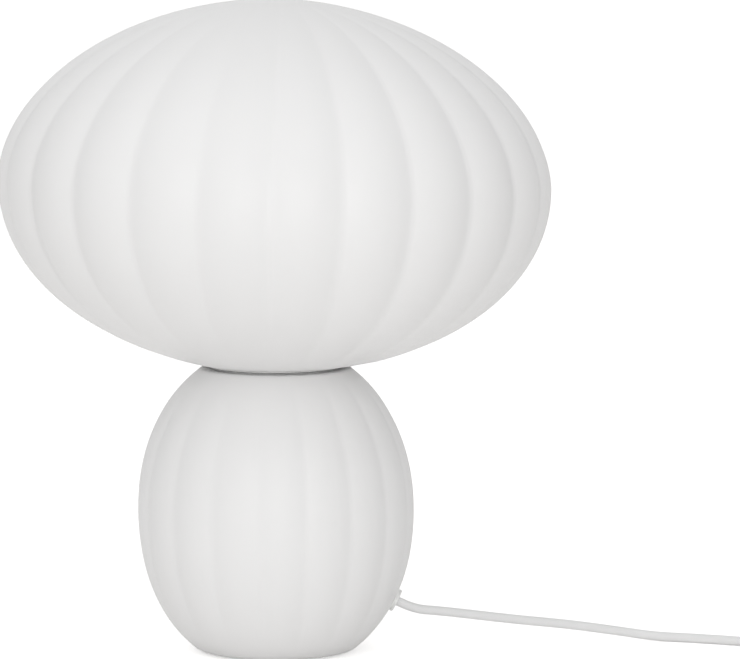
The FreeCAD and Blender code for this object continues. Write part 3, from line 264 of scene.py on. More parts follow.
OPAL = finish("opal_glass", (0.832, 0.83, 0.829), (0.802, 0.80, 0.80), scale=9.0, rough=0.5,
              spread=0.06, bump=0.02, depth=0.0005, Specular_IOR_Level=0.3)
FINISHES = {
    "opal_glass": OPAL,
    "felt": finish("felt", (0.70, 0.69, 0.67), (0.55, 0.54, 0.52), amount=0.9, scale=260.0, rough=0.95,
                   bump=0.6, depth=0.0004, Sheen_Weight=0.4),
    "silicone": finish("silicone", (0.93, 0.93, 0.92), (0.88, 0.88, 0.87), scale=60.0, rough=0.45,
                       bump=0.05),
    "zinc_steel": finish("zinc_steel", (0.62, 0.63, 0.65), (0.45, 0.46, 0.48), amount=0.8, scale=110.0,
                         rough=0.33, spread=0.2, bump=0.1, depth=0.0001, metal=1.0),
    "white_plastic": finish("white_plastic", (0.80, 0.80, 0.79), (0.75, 0.75, 0.74), scale=40.0,
                            rough=0.35, bump=0.06, depth=0.0001),
    "ceramic_white": finish("ceramic_white", (0.80, 0.79, 0.75), (0.68, 0.66, 0.62), amount=0.7,
                            scale=120.0, rough=0.6, bump=0.2, depth=0.0002),
    "brass_metal": finish("brass_metal", (0.78, 0.60, 0.30), (0.60, 0.42, 0.18), amount=0.7,
                          scale=140.0, rough=0.28, spread=0.15, bump=0.06, metal=1.0),
    "nickel_metal": finish("nickel_metal", (0.70, 0.69, 0.66), (0.55, 0.54, 0.51), amount=0.6,
                           scale=140.0, rough=0.25, spread=0.15, bump=0.05, metal=1.0),
    "dark_glass": finish("dark_glass", (0.02, 0.02, 0.025), (0.05, 0.05, 0.05), scale=90.0,
                         rough=0.18, bump=0.05),
    "cord_braid": braided_material(),
    "core_brown": finish("core_brown", (0.20, 0.08, 0.03), (0.15, 0.06, 0.02), scale=200.0, rough=0.4,
                         bump=0.05),
    "core_blue": finish("core_blue", (0.03, 0.12, 0.42), (0.02, 0.09, 0.34), scale=200.0, rough=0.4,
                        bump=0.05),
}
# the plate is coloured darker than the other zinc, as painted shade: its edge shows as the dark shadow line
# in the gap
PLATE_SHADE_FINISH = finish("zinc_with_painted_shade", (0.20, 0.20, 0.20), (0.26, 0.26, 0.26), scale=110.0, rough=0.55,
                      bump=0.1, depth=0.0001, Specular_IOR_Level=0.2)


def dress_nodes():
    """Every CAD node gets the finish of its slot in the record, and then the plate a darker finish that
    paints shade.
    """
    for row in frame["record"]["subparts"]:
        mesh = nodes[row["node"]].data
        mesh.materials.clear()
        mesh.materials.append(FINISHES[row["material_slot"]])
    # painted shade: the plate's dark finish stands in for the shadow in the gap under the cap
    nodes["fitter_plate"].data.materials[0] = PLATE_SHADE_FINISH


def add_piece(name, mesh, slot, body, *replaced):
    """Links a finished mesh as a piece that rides on a body and stands for CAD nodes."""
    piece = bpy.data.objects.new(name, mesh)
    scene.collection.objects.link(piece)
    mesh.materials.clear()
    mesh.materials.append(FINISHES[slot])
    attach(piece, body)
    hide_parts(*replaced)
    return piece


# Mesh helpers

SHARP_EDGE = math.radians(50)


def quads(rings, size, closed=True):
    """Faces between rings of points. The last ring joins the first when closed."""
    faces = []
    for ring in range(rings if closed else rings - 1):
        above = (ring + 1) % rings
        for step in range(size):
            beside = (step + 1) % size
            faces.append((ring * size + step, ring * size + beside,
                          above * size + beside, above * size + step))
    return faces


def smooth_mesh(name, vertices, faces):
    """A mesh with smooth faces. Its vertices are in metres."""
    mesh = bpy.data.meshes.new(name)
    mesh.from_pydata(vertices, [], faces)
    mesh.polygons.foreach_set("use_smooth", [True] * len(faces))
    mesh.set_sharp_from_angle(angle=SHARP_EDGE)
    return mesh


def steady(low, high, steps):
    """Even steps from low to high, with both."""
    return [low + (high - low) * step / steps for step in range(steps + 1)]


def ramp(value):
    """The value, held between 0 and 1."""
    return min(1.0, max(0.0, value))


def polar(radius, turn, height):
    """A point at a distance from the axis, a turn in radians and a height."""
    return Vector((radius * math.cos(turn), radius * math.sin(turn), height))


def turned_grid(name, columns, rows, place):
    """A mesh of rings that close on each other: place(turn, row) gives each point in millimetres."""
    vertices = [place(2 * math.pi * column / columns, row) * MM for row in range(rows)
                for column in range(columns)]
    return smooth_mesh(name, vertices, quads(rows, columns))


def rounded_section(low_across, high_across, low_along, high_along, corner, steps=4):
    """Points round a rectangle with rounded corners, anticlockwise."""
    points = []
    for across, along, start in ((high_across - corner, low_along + corner, -90),
                                 (high_across - corner, high_along - corner, 0),
                                 (low_across + corner, high_along - corner, 90),
                                 (low_across + corner, low_along + corner, 180)):
        for step in range(steps + 1):
            angle = math.radians(start + 90 * step / steps)
            points.append((across + corner * math.cos(angle), along + corner * math.sin(angle)))
    return points


# Cords: the same routes as the solids, as control points of smooth lines

CORD_DIAMETER = 5.2
CORE_DIAMETER = 1.8
BRAID_RELIEF = 0.12
SEEN_STEP = 0.35
SEEN_SIDES = 48
STORED_STEP = 1.2
STORED_SIDES = 20
INNER_SIDES = 32
CORE_STEP = 0.4
CORE_SIDES = 20
# where the gland's axis meets the glass, and how far the gland reaches out and the grip in
GLAND_POINT = Vector((64.47, 0, 27.4))
GLAND_NORMAL = Vector((0.8898, 0, -0.4563))
GLAND_REACH = 1.8
GRIP_REACH = 38.6
GLAND_MOUTH = GLAND_POINT + GLAND_NORMAL * GLAND_REACH
# height of the cord's middle where it lies on the floor
LIE = 2.65
SWITCH_SPOT = Vector((282, -73, 6.3))
SWITCH_LENGTH = 60
PLUG_ENTRY = Vector((384, -40, 6.95))
COIL_CENTRE = Vector((340, -106, 0))
COIL_START = math.radians(-90)
COIL_INNER = 21
COIL_PITCH = 5.9
COIL_TURNS = 3.375
COIL_STEP = 5.8
COIL_LOW = 3.45
COIL_POINTS = 96
# how far each core stands from the axis at the tube, and how much further at the terminals
CORE_SPREAD = (1.17, 4.03)
CORE_END_GAP = 0.1


def coil_point(turned_by):
    """A point of the coil's centreline after the given angle, as the solid has it."""
    rate = COIL_PITCH / (2 * math.pi)
    past = turned_by - 2 * math.pi * COIL_TURNS
    if past < 0:
        radius = COIL_INNER - rate * past
        height = COIL_LOW
    elif past < math.pi:
        share = past / math.pi
        radius = COIL_INNER - rate * (past - past ** 2 / math.pi)
        height = COIL_LOW + COIL_STEP * (3 * share ** 2 - 2 * share ** 3)
    else:
        radius = COIL_INNER + rate * (past - math.pi)
        height = COIL_LOW + COIL_STEP
    return COIL_CENTRE + polar(radius, COIL_START + turned_by, height)


def lead_route():
    """From the gland down to the floor and on to the switch."""
    entry = SWITCH_SPOT + Vector((0, SWITCH_LENGTH / 2, 0))
    return [GLAND_MOUTH, GLAND_MOUTH + GLAND_NORMAL * 10, GLAND_MOUTH + Vector((23.5, 3.3, -6.1)),
            GLAND_MOUTH + Vector((42.5, 6.8, -8.9)), Vector((133, 12, 14)), Vector((160, 17.6, 10.6)),
            Vector((186, 22.5, 6.3)), Vector((208, 24.3, LIE)), Vector((227, 18.4, LIE)),
            Vector((248, 9.8, LIE)), Vector((266, -2, LIE + 0.4)), Vector((277, -16, 4.8)),
            entry + Vector((0, 13, 0)), entry]


def store_route():
    """From the switch through the coil to the plug."""
    leave = SWITCH_SPOT - Vector((0, SWITCH_LENGTH / 2, 0))
    route = [leave, leave + Vector((0, -12.5, 0)), Vector((286.2, -128.4, 5)),
             Vector((295.6, -138.8, 3.9)), Vector((308.1, -145, COIL_LOW)),
             coil_point(0) + Vector((-18, 0, 0))]
    turning = 2 * math.pi * 2 * COIL_TURNS + math.pi
    route += [coil_point(turning * step / COIL_POINTS) for step in range(COIL_POINTS + 1)]
    route += [route[-1] + Vector((0, 15, 0)), Vector((382.5, -73, 4.7)),
              PLUG_ENTRY + Vector((0, -15, 0)), PLUG_ENTRY]
    return route


def smooth_line(name, route):
    """Points along the smooth line that the route's points steer, in metres."""
    curve = bpy.data.curves.new(name, "CURVE")
    curve.dimensions = "3D"
    spline = curve.splines.new("NURBS")
    spline.points.add(len(route) - 1)
    for point, place in zip(spline.points, route):
        point.co = (*(place * MM), 1)
    spline.order_u = 3
    spline.use_endpoint_u = True
    curve.resolution_u = 12
    holder = bpy.data.objects.new(name, curve)
    scene.collection.objects.link(holder)
    bpy.context.view_layer.update()
    line = bpy.data.meshes.new_from_object(holder)
    places = [vertex.co.copy() for vertex in line.vertices]
    bpy.data.objects.remove(holder)
    bpy.data.meshes.remove(line)
    return places


def evenly(places, step):
    """The same line with points at an even spacing, and its length."""
    lengths = [0.0]
    for first, last in zip(places[:-1], places[1:]):
        lengths.append(lengths[-1] + (last - first).length)
    total = lengths[-1]
    count = max(2, round(total / step))
    spread = []
    index = 0
    for number in range(count + 1):
        reach = total * number / count
        while index < len(places) - 2 and lengths[index + 1] < reach:
            index += 1
        span = lengths[index + 1] - lengths[index]
        share = (reach - lengths[index]) / span if span else 0
        spread.append(places[index].lerp(places[index + 1], min(1.0, share)))
    return spread, total


def braid_height(around, along):
    """The relief of crossing threads, from 0 in the gaps to 1 on the crowns."""
    right = THREADS * (around + along)
    left = THREADS * (around - along)
    over = math.cos(math.pi * (right + left)) * math.cos(math.pi * (right - left))
    share = 0.5 + 0.5 * over
    return max((0.5 + 0.5 * math.cos(2 * math.pi * right)) * share,
               (0.5 + 0.5 * math.cos(2 * math.pi * left)) * (1 - share))


def tube_mesh(name, route, step, sides, relief=0.0, diameter=CORD_DIAMETER):
    """A round tube along a route, with a UV map in turns round and girths along."""
    radius = diameter / 2 * MM
    line, total = evenly(smooth_line(name + "_line", route), step * MM)
    last = len(line) - 1
    girth = 2 * math.pi * radius
    alongs = [total * ring / last / girth for ring in range(last + 1)]
    heading = (line[1] - line[0]).normalized()
    side = heading.cross(Vector((0.1, 1, 0.2))).normalized()
    vertices = []
    for ring, centre in enumerate(line):
        ahead = (line[min(ring + 1, last)] - line[max(ring - 1, 0)]).normalized()
        side = heading.rotation_difference(ahead) @ side
        heading = ahead
        other = heading.cross(side)
        for number in range(sides):
            angle = 2 * math.pi * number / sides
            sunk = relief * MM * (1 - braid_height(number / sides, alongs[ring])) if relief else 0.0
            outward = side * math.cos(angle) + other * math.sin(angle)
            vertices.append(centre + outward * (radius - sunk))
    faces = quads(last + 1, sides, closed=False)
    spots = []
    for low, high in zip(alongs[:-1], alongs[1:]):
        for number in range(sides):
            left = number / sides
            right = (number + 1) / sides
            spots += [(left, low), (right, low), (right, high), (left, high)]
    faces.append(tuple(reversed(range(sides))))
    faces.append(tuple(last * sides + number for number in range(sides)))
    spots += [(0.5, 0.0)] * (2 * sides)
    mesh = bpy.data.meshes.new(name)
    mesh.from_pydata(vertices, [], faces)
    layer = mesh.uv_layers.new(name="UVMap")
    for corner, spot in zip(layer.data, spots):
        corner.uv = spot
    mesh.polygons.foreach_set("use_smooth", [True] * (len(faces) - 2) + [False] * 2)
    mesh.update()
    return mesh, line, total


def lay_cords():
    """The cord that the photo shows, up to its switch, and the stretch stored in a coil."""
    mesh, line, total = tube_mesh("lead", lead_route(), SEEN_STEP, SEEN_SIDES, relief=BRAID_RELIEF)
    lead = add_piece("lead", mesh, "cord_braid", "lamp", "cord_lead")

    mesh, line, total = tube_mesh("stored_cord", store_route(), STORED_STEP, STORED_SIDES)
    stored = add_piece("stored_cord", mesh, "cord_braid", "lamp", "cord_run", "cord_coil", "cord_tail")


def lay_inner_cord():
    """The stretch inside the foot, up into the tube, and the two cores above it."""
    behind = GLAND_POINT - GLAND_NORMAL * GRIP_REACH
    route = [GLAND_MOUTH, GLAND_MOUTH.lerp(behind, 0.7), behind, Vector((8, 0, TUBE_LOW - 55)),
             Vector((0, 0, TUBE_LOW - 14)), Vector((0, 0, TUBE_HIGH))]
    mesh = tube_mesh("inner_cord", route, STORED_STEP, INNER_SIDES)[0]
    add_piece("inner_cord", mesh, "cord_braid", "lamp", "cord_inner")
    climb = INSERT_LOW - TUBE_HIGH - CORE_END_GAP
    near, spread = CORE_SPREAD
    for name, slot, side in (("wire_live", "core_brown", -1), ("wire_neutral", "core_blue", 1)):
        route = [Vector((side * (near + spread * out), 0, TUBE_HIGH + climb * up))
                 for out, up in ((0, 0), (0, 0.22), (0.26, 0.43), (0.74, 0.57), (1, 0.78), (1, 1))]
        mesh = tube_mesh(name + "_core", route, CORE_STEP, CORE_SIDES, diameter=CORE_DIAMETER)[0]
        add_piece(name + "_core", mesh, slot, "lamp", name)


# Threads

THREAD_DEPTH = 0.5
ROWS_A_PITCH = 10
TUBE_COLUMNS = 48
SCREW_COLUMNS = 72
TUBE_RADIUS = 5
TUBE_BORE = 4
TUBE_PITCH = 1.0
SOCKET_PITCH = 3.62
SHELL_RADIUS = 14.2
SHELL_WALL = 0.4
SHELL_HEIGHT = 20.5
CAP_RADIUS = 12.1
CAP_THREAD = 1
CAP_WALL = 0.5
CAP_COLLAR = 2
CAP_COLLAR_OUT = 1.0
CAP_CONE = ((9.1, 0), (11.1, 0), (11.9, 1))
CAP_ROWS = 72


def threaded(name, slot, node, crest, pitch, low, high, inside, columns):
    """A sleeve on the lamp with a round thread. inside(radius) gives the radius of its bore."""
    count = int((high - low) / pitch * ROWS_A_PITCH)

    def place(turn, row):
        outside = row <= count
        share = row / count if outside else (2 * count + 1 - row) / count
        height = low + (high - low) * share
        ends = max(0.0, min(1.0, (height - low) / pitch, (high - height) / pitch))
        wave = 0.5 + 0.5 * math.cos(2 * math.pi * height / pitch - turn)
        radius = crest - THREAD_DEPTH + THREAD_DEPTH * ends * wave
        return polar(radius if outside else inside(radius), turn, height)
    add_piece(name, turned_grid(name, columns, 2 * count + 2, place), slot, "lamp", node)


def make_bulb_cap():
    """Pressed cap: a cone up from the insulator, then the round thread up to the glass."""
    rows = [(radius, BULB_CAP_LOW + rise, 0.0) for radius, rise in CAP_CONE]
    start = BULB_CAP_LOW + CAP_COLLAR
    collar_low = BULB_CAP_HIGH - CAP_COLLAR
    for height in steady(start, BULB_CAP_HIGH, CAP_ROWS):
        ends = min(1.0, (height - start) / SOCKET_PITCH, (collar_low - height) / SOCKET_PITCH)
        radius = CAP_RADIUS + (CAP_COLLAR_OUT if height > collar_low else 0.0)
        rows.append((radius, height, max(0.0, ends)))
    inside = [(radius - CAP_WALL, height, ends) for radius, height, ends in rows[len(CAP_CONE):]]
    rows += list(reversed(inside)) + [(CAP_CONE[0][0], BULB_CAP_LOW + CAP_WALL, 0.0)]

    def place(turn, row):
        radius, height, ends = rows[row]
        wave = 0.5 + 0.5 * math.cos(2 * math.pi * height / SOCKET_PITCH - turn)
        return polar(radius + CAP_THREAD * ends * wave, turn, height)
    mesh = turned_grid("bulb_thread", SCREW_COLUMNS, len(rows), place)
    add_piece("bulb_thread", mesh, "nickel_metal", "bulb", "bulb_cap")


def make_threads():
    """The lamp tube, the socket's screw shell and the bulb's cap."""
    threaded("tube_thread", "zinc_steel", "threaded_tube", TUBE_RADIUS, TUBE_PITCH, TUBE_LOW, TUBE_HIGH,
             lambda radius: TUBE_BORE, TUBE_COLUMNS)
    threaded("socket_thread", "brass_metal", "screw_shell", SHELL_RADIUS, SOCKET_PITCH, SOCKET_FLOOR,
             SOCKET_FLOOR + SHELL_HEIGHT, lambda radius: radius - SHELL_WALL, SCREW_COLUMNS)
    make_bulb_cap()


# Soft rings, pads, washer and tie

FELT_INNER = 19
FELT_OUTER = 29
FELT_FUZZ = 0.15
BASE_GASKET_INNER = 32.2
BASE_GASKET_OUTER = 34.8
SHADE_GASKET_INNER = 32.15
SHADE_GASKET_OUTER = 36.6
# the rings' rounding, and the most of a ring's thickness that it may take
RING_EDGE = 0.4
RING_EDGE_SHARE = 0.45
RING_COLUMNS = 192
PAD_INNER = 32.1
PAD_OUTER = 37.4
PAD_HALF_WIDTH = 7
PAD_CORNER = 2.4
PAD_THICK = 1.5
PAD_SUNK = 0.25
WASHER_INNER = 5.05
WASHER_OUTER = 5.95
WASHER_TOP = 0.49
WASHER_BULGE = 0.12
WASHER_STEPS = 6
WASHER_COLUMNS = 96
WASHER_CLEAR = 0.01
RAY_START = 5
TIE_NEAR = 17.3
TIE_FAR = 44.61
TIE_LOW = 0.75
TIE_HIGH = 12.217
TIE_THICK = 0.7
TIE_WIDTH = 9
TIE_BEND = 2
TIE_EDGE = 0.3
# the strap's outside sinks a little near its edges, in waves across the strap
TIE_SUNK = 0.04
TIE_WAVE = 1.5
TIE_TURN = math.radians(200)


def soft_ring(name, slot, node, inner, outer, low, high, fuzz=0.0):
    """A soft flat ring with rounded edges, its outline a little uneven when it is felt."""
    edge = min(RING_EDGE, (high - low) * RING_EDGE_SHARE)
    section = rounded_section(inner, outer, low, high, edge)

    def place(turn, row):
        radius, height = section[row]
        swing = fuzz * (math.sin(11 * turn) + math.sin(29 * turn + 1) + math.sin(67 * turn + 2)) / 3
        outwards = 1 if radius > (inner + outer) / 2 else -1
        return polar(radius + outwards * (swing - fuzz), turn, height)
    add_piece(name, turned_grid(name, RING_COLUMNS, len(section), place), slot, "lamp", node)


def make_soft_rings():
    """Felt under the foot, and the two seals on either side of the plate."""
    soft_ring("soft_foot_pad", "felt", "foot_pad", FELT_INNER, FELT_OUTER, 0, BASE_FOOT, FELT_FUZZ)
    soft_ring("soft_base_gasket", "silicone", "base_gasket", BASE_GASKET_INNER, BASE_GASKET_OUTER,
              BASE_TOP, PLATE_LOW)
    soft_ring("soft_shade_gasket", "silicone", "shade_gasket", SHADE_GASKET_INNER, SHADE_GASKET_OUTER,
              PLATE_HIGH, SEAT)


def make_clamp_pads():
    """Two soft pads on the clamp bar's ends, each with rounded edges and a sunk ring on top."""
    # how far each loop of points lies inside the outline, and its height
    steps = ((0.4, 0), (0.1, 0.1), (0, 0.4), (0, PAD_THICK - 0.4), (0.1, PAD_THICK - 0.1),
             (0.4, PAD_THICK), (0.9, PAD_THICK), (1.1, PAD_THICK - PAD_SUNK),
             (1.5, PAD_THICK - PAD_SUNK), (1.7, PAD_THICK))
    vertices = []
    faces = []
    for side in (-1, 1):
        start = len(vertices)
        for inset, height in steps:
            loop = rounded_section(PAD_INNER + inset, PAD_OUTER - inset, inset - PAD_HALF_WIDTH,
                                   PAD_HALF_WIDTH - inset, PAD_CORNER - inset)
            vertices += [mm(side * x, side * y, BASE_LIP_UNDER - PAD_THICK + height) for x, y in loop]
        size = len(loop)
        top = start + (len(steps) - 1) * size
        for face in quads(len(steps), size, closed=False):
            faces.append([start + corner for corner in face])
        faces.append([start + size - 1 - step for step in range(size)])
        faces.append([top + step for step in range(size)])
    mesh = smooth_mesh("soft_clamp_pads", vertices, faces)
    add_piece("soft_clamp_pads", mesh, "silicone", "lamp", "clamp_pads")


def make_gland_washer(glass):
    """The seal under the gland's flange. Rays find the lobed glass that its underside follows."""
    tree = BVHTree.FromPolygons([corner.co for corner in glass.vertices],
                                [face.vertices[:] for face in glass.polygons])
    across = Vector((0, 1, 0))
    upwards = across.cross(GLAND_NORMAL)
    rows = [(step / WASHER_STEPS, 0.0) for step in range(WASHER_STEPS)]
    rows += [(1.0, step / WASHER_STEPS) for step in range(WASHER_STEPS + 1)]
    rows += [(step / WASHER_STEPS, 1.0) for step in range(WASHER_STEPS - 1, -1, -1)]

    def place(turn, row):
        out, up = rows[row]
        radius = WASHER_INNER + (WASHER_OUTER - WASHER_INNER) * out
        side = upwards * math.cos(turn) + across * math.sin(turn)
        start = GLAND_POINT + side * radius + GLAND_NORMAL * RAY_START
        distance = tree.ray_cast(start * MM, -GLAND_NORMAL)[3] / MM
        low = RAY_START - distance + WASHER_CLEAR
        if out == 1.0:
            radius += WASHER_BULGE * math.sin(math.pi * up)
        return GLAND_POINT + side * radius + GLAND_NORMAL * (low + (WASHER_TOP - low) * up)
    mesh = turned_grid("soft_gland_washer", WASHER_COLUMNS, len(rows), place)
    add_piece("soft_gland_washer", mesh, "silicone", "lamp", "gland_washer")


def make_tie():
    """Silicone strap round the coil, with rounded bends and edges."""
    half = TIE_THICK / 2
    path = rounded_section(TIE_NEAR - half, TIE_FAR + half, TIE_LOW - half, TIE_HIGH + half,
                           TIE_BEND - half, steps=6)
    section = rounded_section(-half, half, -TIE_WIDTH / 2, TIE_WIDTH / 2, TIE_EDGE, steps=3)
    along = polar(1, TIE_TURN, 0)
    across = polar(1, TIE_TURN + math.pi / 2, 0)
    vertices = []
    for index, spot in enumerate(path):
        before = Vector(path[index - 1])
        after = Vector(path[(index + 1) % len(path)])
        heading = (after - before).normalized()
        outward = Vector((heading.y, -heading.x))
        for out, side in section:
            sunk = TIE_SUNK * (1 - math.cos(2 * math.pi * side / TIE_WAVE)) if out > 0 else 0.0
            reach, height = Vector(spot) + outward * (out - sunk)
            vertices.append((COIL_CENTRE + along * reach + across * side + Vector((0, 0, height))) * MM)
    mesh = smooth_mesh("tie_strap", vertices, quads(len(path), len(section)))
    add_piece("tie_strap", mesh, "silicone", "lamp", "coil_tie")


# Lobed glass: a node tree turns a profile about Z and presses grooves into it

# joins the seam and the points on the axis, in metres
MERGE_DISTANCE = 0.000004


def turning_tree():
    """Turns the input's points about Z. Attribute groove says where lobes show, lean where it tilts."""
    tree = bpy.data.node_groups.new("Lobed turning", "GeometryNodeTree")
    sizes = [("Profile", "Geometry", None), ("Steps round", "Int", 384), ("Lobes", "Int", 24),
             ("Groove depth", "Float", 0.003), ("Full radius", "Float", 0.15),
             ("Groove turn", "Float", 0.0), ("Lean", "Float", 0.0), ("Lean height", "Float", 0.2),
             ("Crown shape", "Float", 2.0), ("Groove softness", "Float", 0.05),
             ("Material", "Material", None)]
    for label, kind, value in sizes:
        socket = tree.interface.new_socket(label, in_out="INPUT", socket_type="NodeSocket" + kind)
        if value is not None:
            socket.default_value = value
    tree.interface.new_socket("Mesh", in_out="OUTPUT", socket_type="NodeSocketGeometry")
    source = tree.nodes.new("NodeGroupInput").outputs
    end = tree.nodes.new("NodeGroupOutput").inputs

    domain = put(tree, "GeometryNodeAttributeDomainSize", Geometry=source["Profile"])
    rows = domain.outputs["Point Count"]
    columns = maths(tree, "ADD", source["Steps round"], 1.0)
    grid = put(tree, "GeometryNodeMeshGrid", Vertices_X=columns, Vertices_Y=rows)
    index = tree.nodes.new("GeometryNodeInputIndex").outputs[0]
    row = maths(tree, "MODULO", index, rows)
    column = maths(tree, "FLOOR", maths(tree, "DIVIDE", maths(tree, "ADD", index, 0.5), rows))

    def sampled(kind, field):
        return live_output(put(
            tree, "GeometryNodeSampleIndex", {"data_type": kind, "domain": "POINT"},
            Geometry=source["Profile"], Value=field, Index=row))

    def named(label):
        return live_output(put(
            tree, "GeometryNodeInputNamedAttribute", {"data_type": "FLOAT"}, Name=label))

    position = tree.nodes.new("GeometryNodeInputPosition").outputs[0]
    place = put(tree, "ShaderNodeSeparateXYZ", Vector=sampled("FLOAT_VECTOR", position))
    radius, height = place.outputs[0], place.outputs[2]
    grooved = sampled("FLOAT", named("groove"))
    leant = sampled("FLOAT", named("lean"))

    # how far round inside a lobe, from -1 to 1, and how deep the glass is pressed in there
    turned = maths(tree, "DIVIDE", column, source["Steps round"])
    phase = maths(tree, "SUBTRACT", turned, source["Groove turn"])
    phase = maths(tree, "MULTIPLY", phase, source["Lobes"])
    across = maths(tree, "MULTIPLY_ADD", maths(tree, "FRACT", phase), 2.0, -1.0)
    aside = maths(tree, "SUBTRACT", 1.0, maths(tree, "ABSOLUTE", across))
    softness = source["Groove softness"]
    squares = maths(tree, "ADD", maths(tree, "MULTIPLY", aside, aside),
                    maths(tree, "MULTIPLY", softness, softness))
    soft = maths(tree, "SUBTRACT", 1.0, maths(tree, "SQRT", squares))
    bowl = maths(tree, "POWER", maths(tree, "MAXIMUM", soft, 0.0), source["Crown shape"])
    depth = maths(tree, "MULTIPLY", source["Groove depth"], grooved)
    depth = maths(tree, "MULTIPLY", depth, maths(tree, "DIVIDE", radius, source["Full radius"]))
    reach = maths(tree, "SUBTRACT", radius, maths(tree, "MULTIPLY", depth, bowl))
    angle = maths(tree, "MULTIPLY", turned, 2 * math.pi)
    spot = put(tree, "ShaderNodeCombineXYZ", Z=height,
               X=maths(tree, "MULTIPLY", reach, maths(tree, "COSINE", angle)),
               Y=maths(tree, "MULTIPLY", reach, maths(tree, "SINE", angle)))
    centre = put(tree, "ShaderNodeCombineXYZ", Z=source["Lean height"])
    leaning = put(tree, "ShaderNodeVectorRotate", {"rotation_type": "Y_AXIS"}, Vector=spot.outputs[0],
                  Center=centre.outputs[0], Angle=maths(tree, "MULTIPLY", source["Lean"], leant))
    moved = put(tree, "GeometryNodeSetPosition", Geometry=grid.outputs["Mesh"],
                Position=leaning.outputs[0])
    joined = put(tree, "GeometryNodeMergeByDistance", Geometry=moved.outputs[0],
                 Distance=MERGE_DISTANCE)
    smooth = put(tree, "GeometryNodeSetShadeSmooth", Geometry=joined.outputs[0])
    real = put(tree, "GeometryNodeRealizeInstances", Geometry=smooth.outputs[0])
    coated = put(tree, "GeometryNodeSetMaterial", Geometry=real.outputs[0], Material=source["Material"])
    feed(tree, end["Mesh"], coated.outputs[0])
    return tree


def turned_glass(name, profile, tree, sizes):
    """A plain mesh from the tree. The profile's rows are (radius, height, groove, lean)."""
    mesh = bpy.data.meshes.new(name + "_profile")
    mesh.from_pydata([mm(row[0], 0, row[1]) for row in profile],
                     [(number, number + 1) for number in range(len(profile) - 1)], [])
    for column, label in ((2, "groove"), (3, "lean")):
        values = mesh.attributes.new(label, "FLOAT", "POINT")
        values.data.foreach_set("value", [row[column] for row in profile])
    holder = bpy.data.objects.new(name + "_profile", mesh)
    scene.collection.objects.link(holder)
    modifier = holder.modifiers.new("Turning", "NODES")
    modifier.node_group = tree
    for item in tree.interface.items_tree:
        if item.in_out == "INPUT" and item.name in sizes:
            modifier[item.identifier] = sizes[item.name]
    bpy.context.view_layer.update()
    depsgraph = bpy.context.evaluated_depsgraph_get()
    solid = bpy.data.meshes.new_from_object(holder.evaluated_get(depsgraph))
    bpy.data.objects.remove(holder)
    solid.name = name
    drop_loose(solid)
    solid.set_sharp_from_angle(angle=SHARP_EDGE)
    return solid


def drop_loose(mesh):
    """Takes out edges and points that carry no face."""
    work = bmesh.new()
    work.from_mesh(mesh)
    loose_edges = [edge for edge in work.edges if not edge.link_faces]
    bmesh.ops.delete(work, geom=loose_edges, context="EDGES")
    loose_points = [spot for spot in work.verts if not spot.link_edges]
    bmesh.ops.delete(work, geom=loose_points, context="VERTS")
    work.to_mesh(mesh)
    work.free()


def superellipse(radius, half, exponent, angle):
    """Radius and height above the centre at an angle from the equator, in radians."""
    across = radius * abs(math.cos(angle)) ** (2 / exponent)
    return across, math.copysign(half * abs(math.sin(angle)) ** (2 / exponent), angle)


# bevel on the glass's ground edges
EDGE = 0.3

# half height and exponent of the cap's upper and lower outline
SHADE_UPPER = (99.6, 1.88)
SHADE_LOWER = (101.8, 2.04)
SHADE_RADIUS = 150
SHADE_CENTRE = 255.5
SHADE_WALL = 5
SHADE_MOUTH = 33
SHADE_NECK = 37
SHADE_FADE = 20
SHADE_LOBES = 24
SHADE_GROOVE = 3.3
# degrees that the grooves are turned about the axis, and that the cap leans
SHADE_TURN = -1.08
SHADE_LEAN = 1.83
STEPS_A_SHADE_LOBE = 16
SHADE_OUTSIDE_STEPS = 110
SHADE_INSIDE_STEPS = 50


def cap_profile():
    """Outside from the ground mouth to the top, then inside back down to the mouth."""
    def point(inset, angle):
        half, exponent = SHADE_UPPER if angle > 0 else SHADE_LOWER
        radius, rise = superellipse(SHADE_RADIUS - inset, half - inset, exponent, angle)
        return radius, SHADE_CENTRE + rise

    def angle_at(inset, radius):
        """Angle on the lower half where the profile has a radius."""
        exponent = SHADE_LOWER[1]
        return -math.acos((radius / (SHADE_RADIUS - inset)) ** (exponent / 2))

    def risen(height):
        return (height - SEAT) / SHADE_FADE

    def lean(radius, height):
        """The mouth stays level on its seat, and the rest leans."""
        return ramp(risen(height) + (radius - SHADE_NECK) / SHADE_NECK)

    rows = []
    for angle in steady(angle_at(0, SHADE_NECK + EDGE), math.pi / 2, SHADE_OUTSIDE_STEPS):
        radius, height = point(0, angle)
        rows.append((radius, height, ramp(risen(height)), lean(radius, height)))
    for angle in steady(math.pi / 2, angle_at(SHADE_WALL, SHADE_MOUTH), SHADE_INSIDE_STEPS):
        radius, height = point(SHADE_WALL, angle)
        rows.append((radius, height, 0, lean(radius, height)))
    for radius, height in ((SHADE_MOUTH, SEAT + EDGE), (SHADE_MOUTH + EDGE, SEAT),
                           (SHADE_NECK - EDGE, SEAT), (SHADE_NECK, SEAT + EDGE / 2)):
        rows.append((radius, height, 0, 0))
    rows.append(rows[0])
    return rows


BASE_RADIUS = 75.4
BASE_CENTRE = 77.75
BASE_HALF = 90.13
BASE_UPPER = 2.08
BASE_LOWER = 2.15
BASE_WALL = 4.5
BASE_FLOOR = 1.6 * BASE_WALL
BASE_FLAT = 41
BASE_CORNER = 3
BASE_CORNER_TURN = math.radians(29)
BASE_MOUTH = 32
BASE_RIM = 38
BASE_RIM_DROP = 1.4
BASE_FADE = 25
BASE_LOBES = 18
BASE_GROOVE = 1.3
# degrees that the grooves are turned about the axis
BASE_TURN = 2.59
STEPS_A_BASE_LOBE = 14
BASE_OUTSIDE_STEPS = 60
BASE_INSIDE_STEPS = 36
BASE_CORNER_STEPS = 6


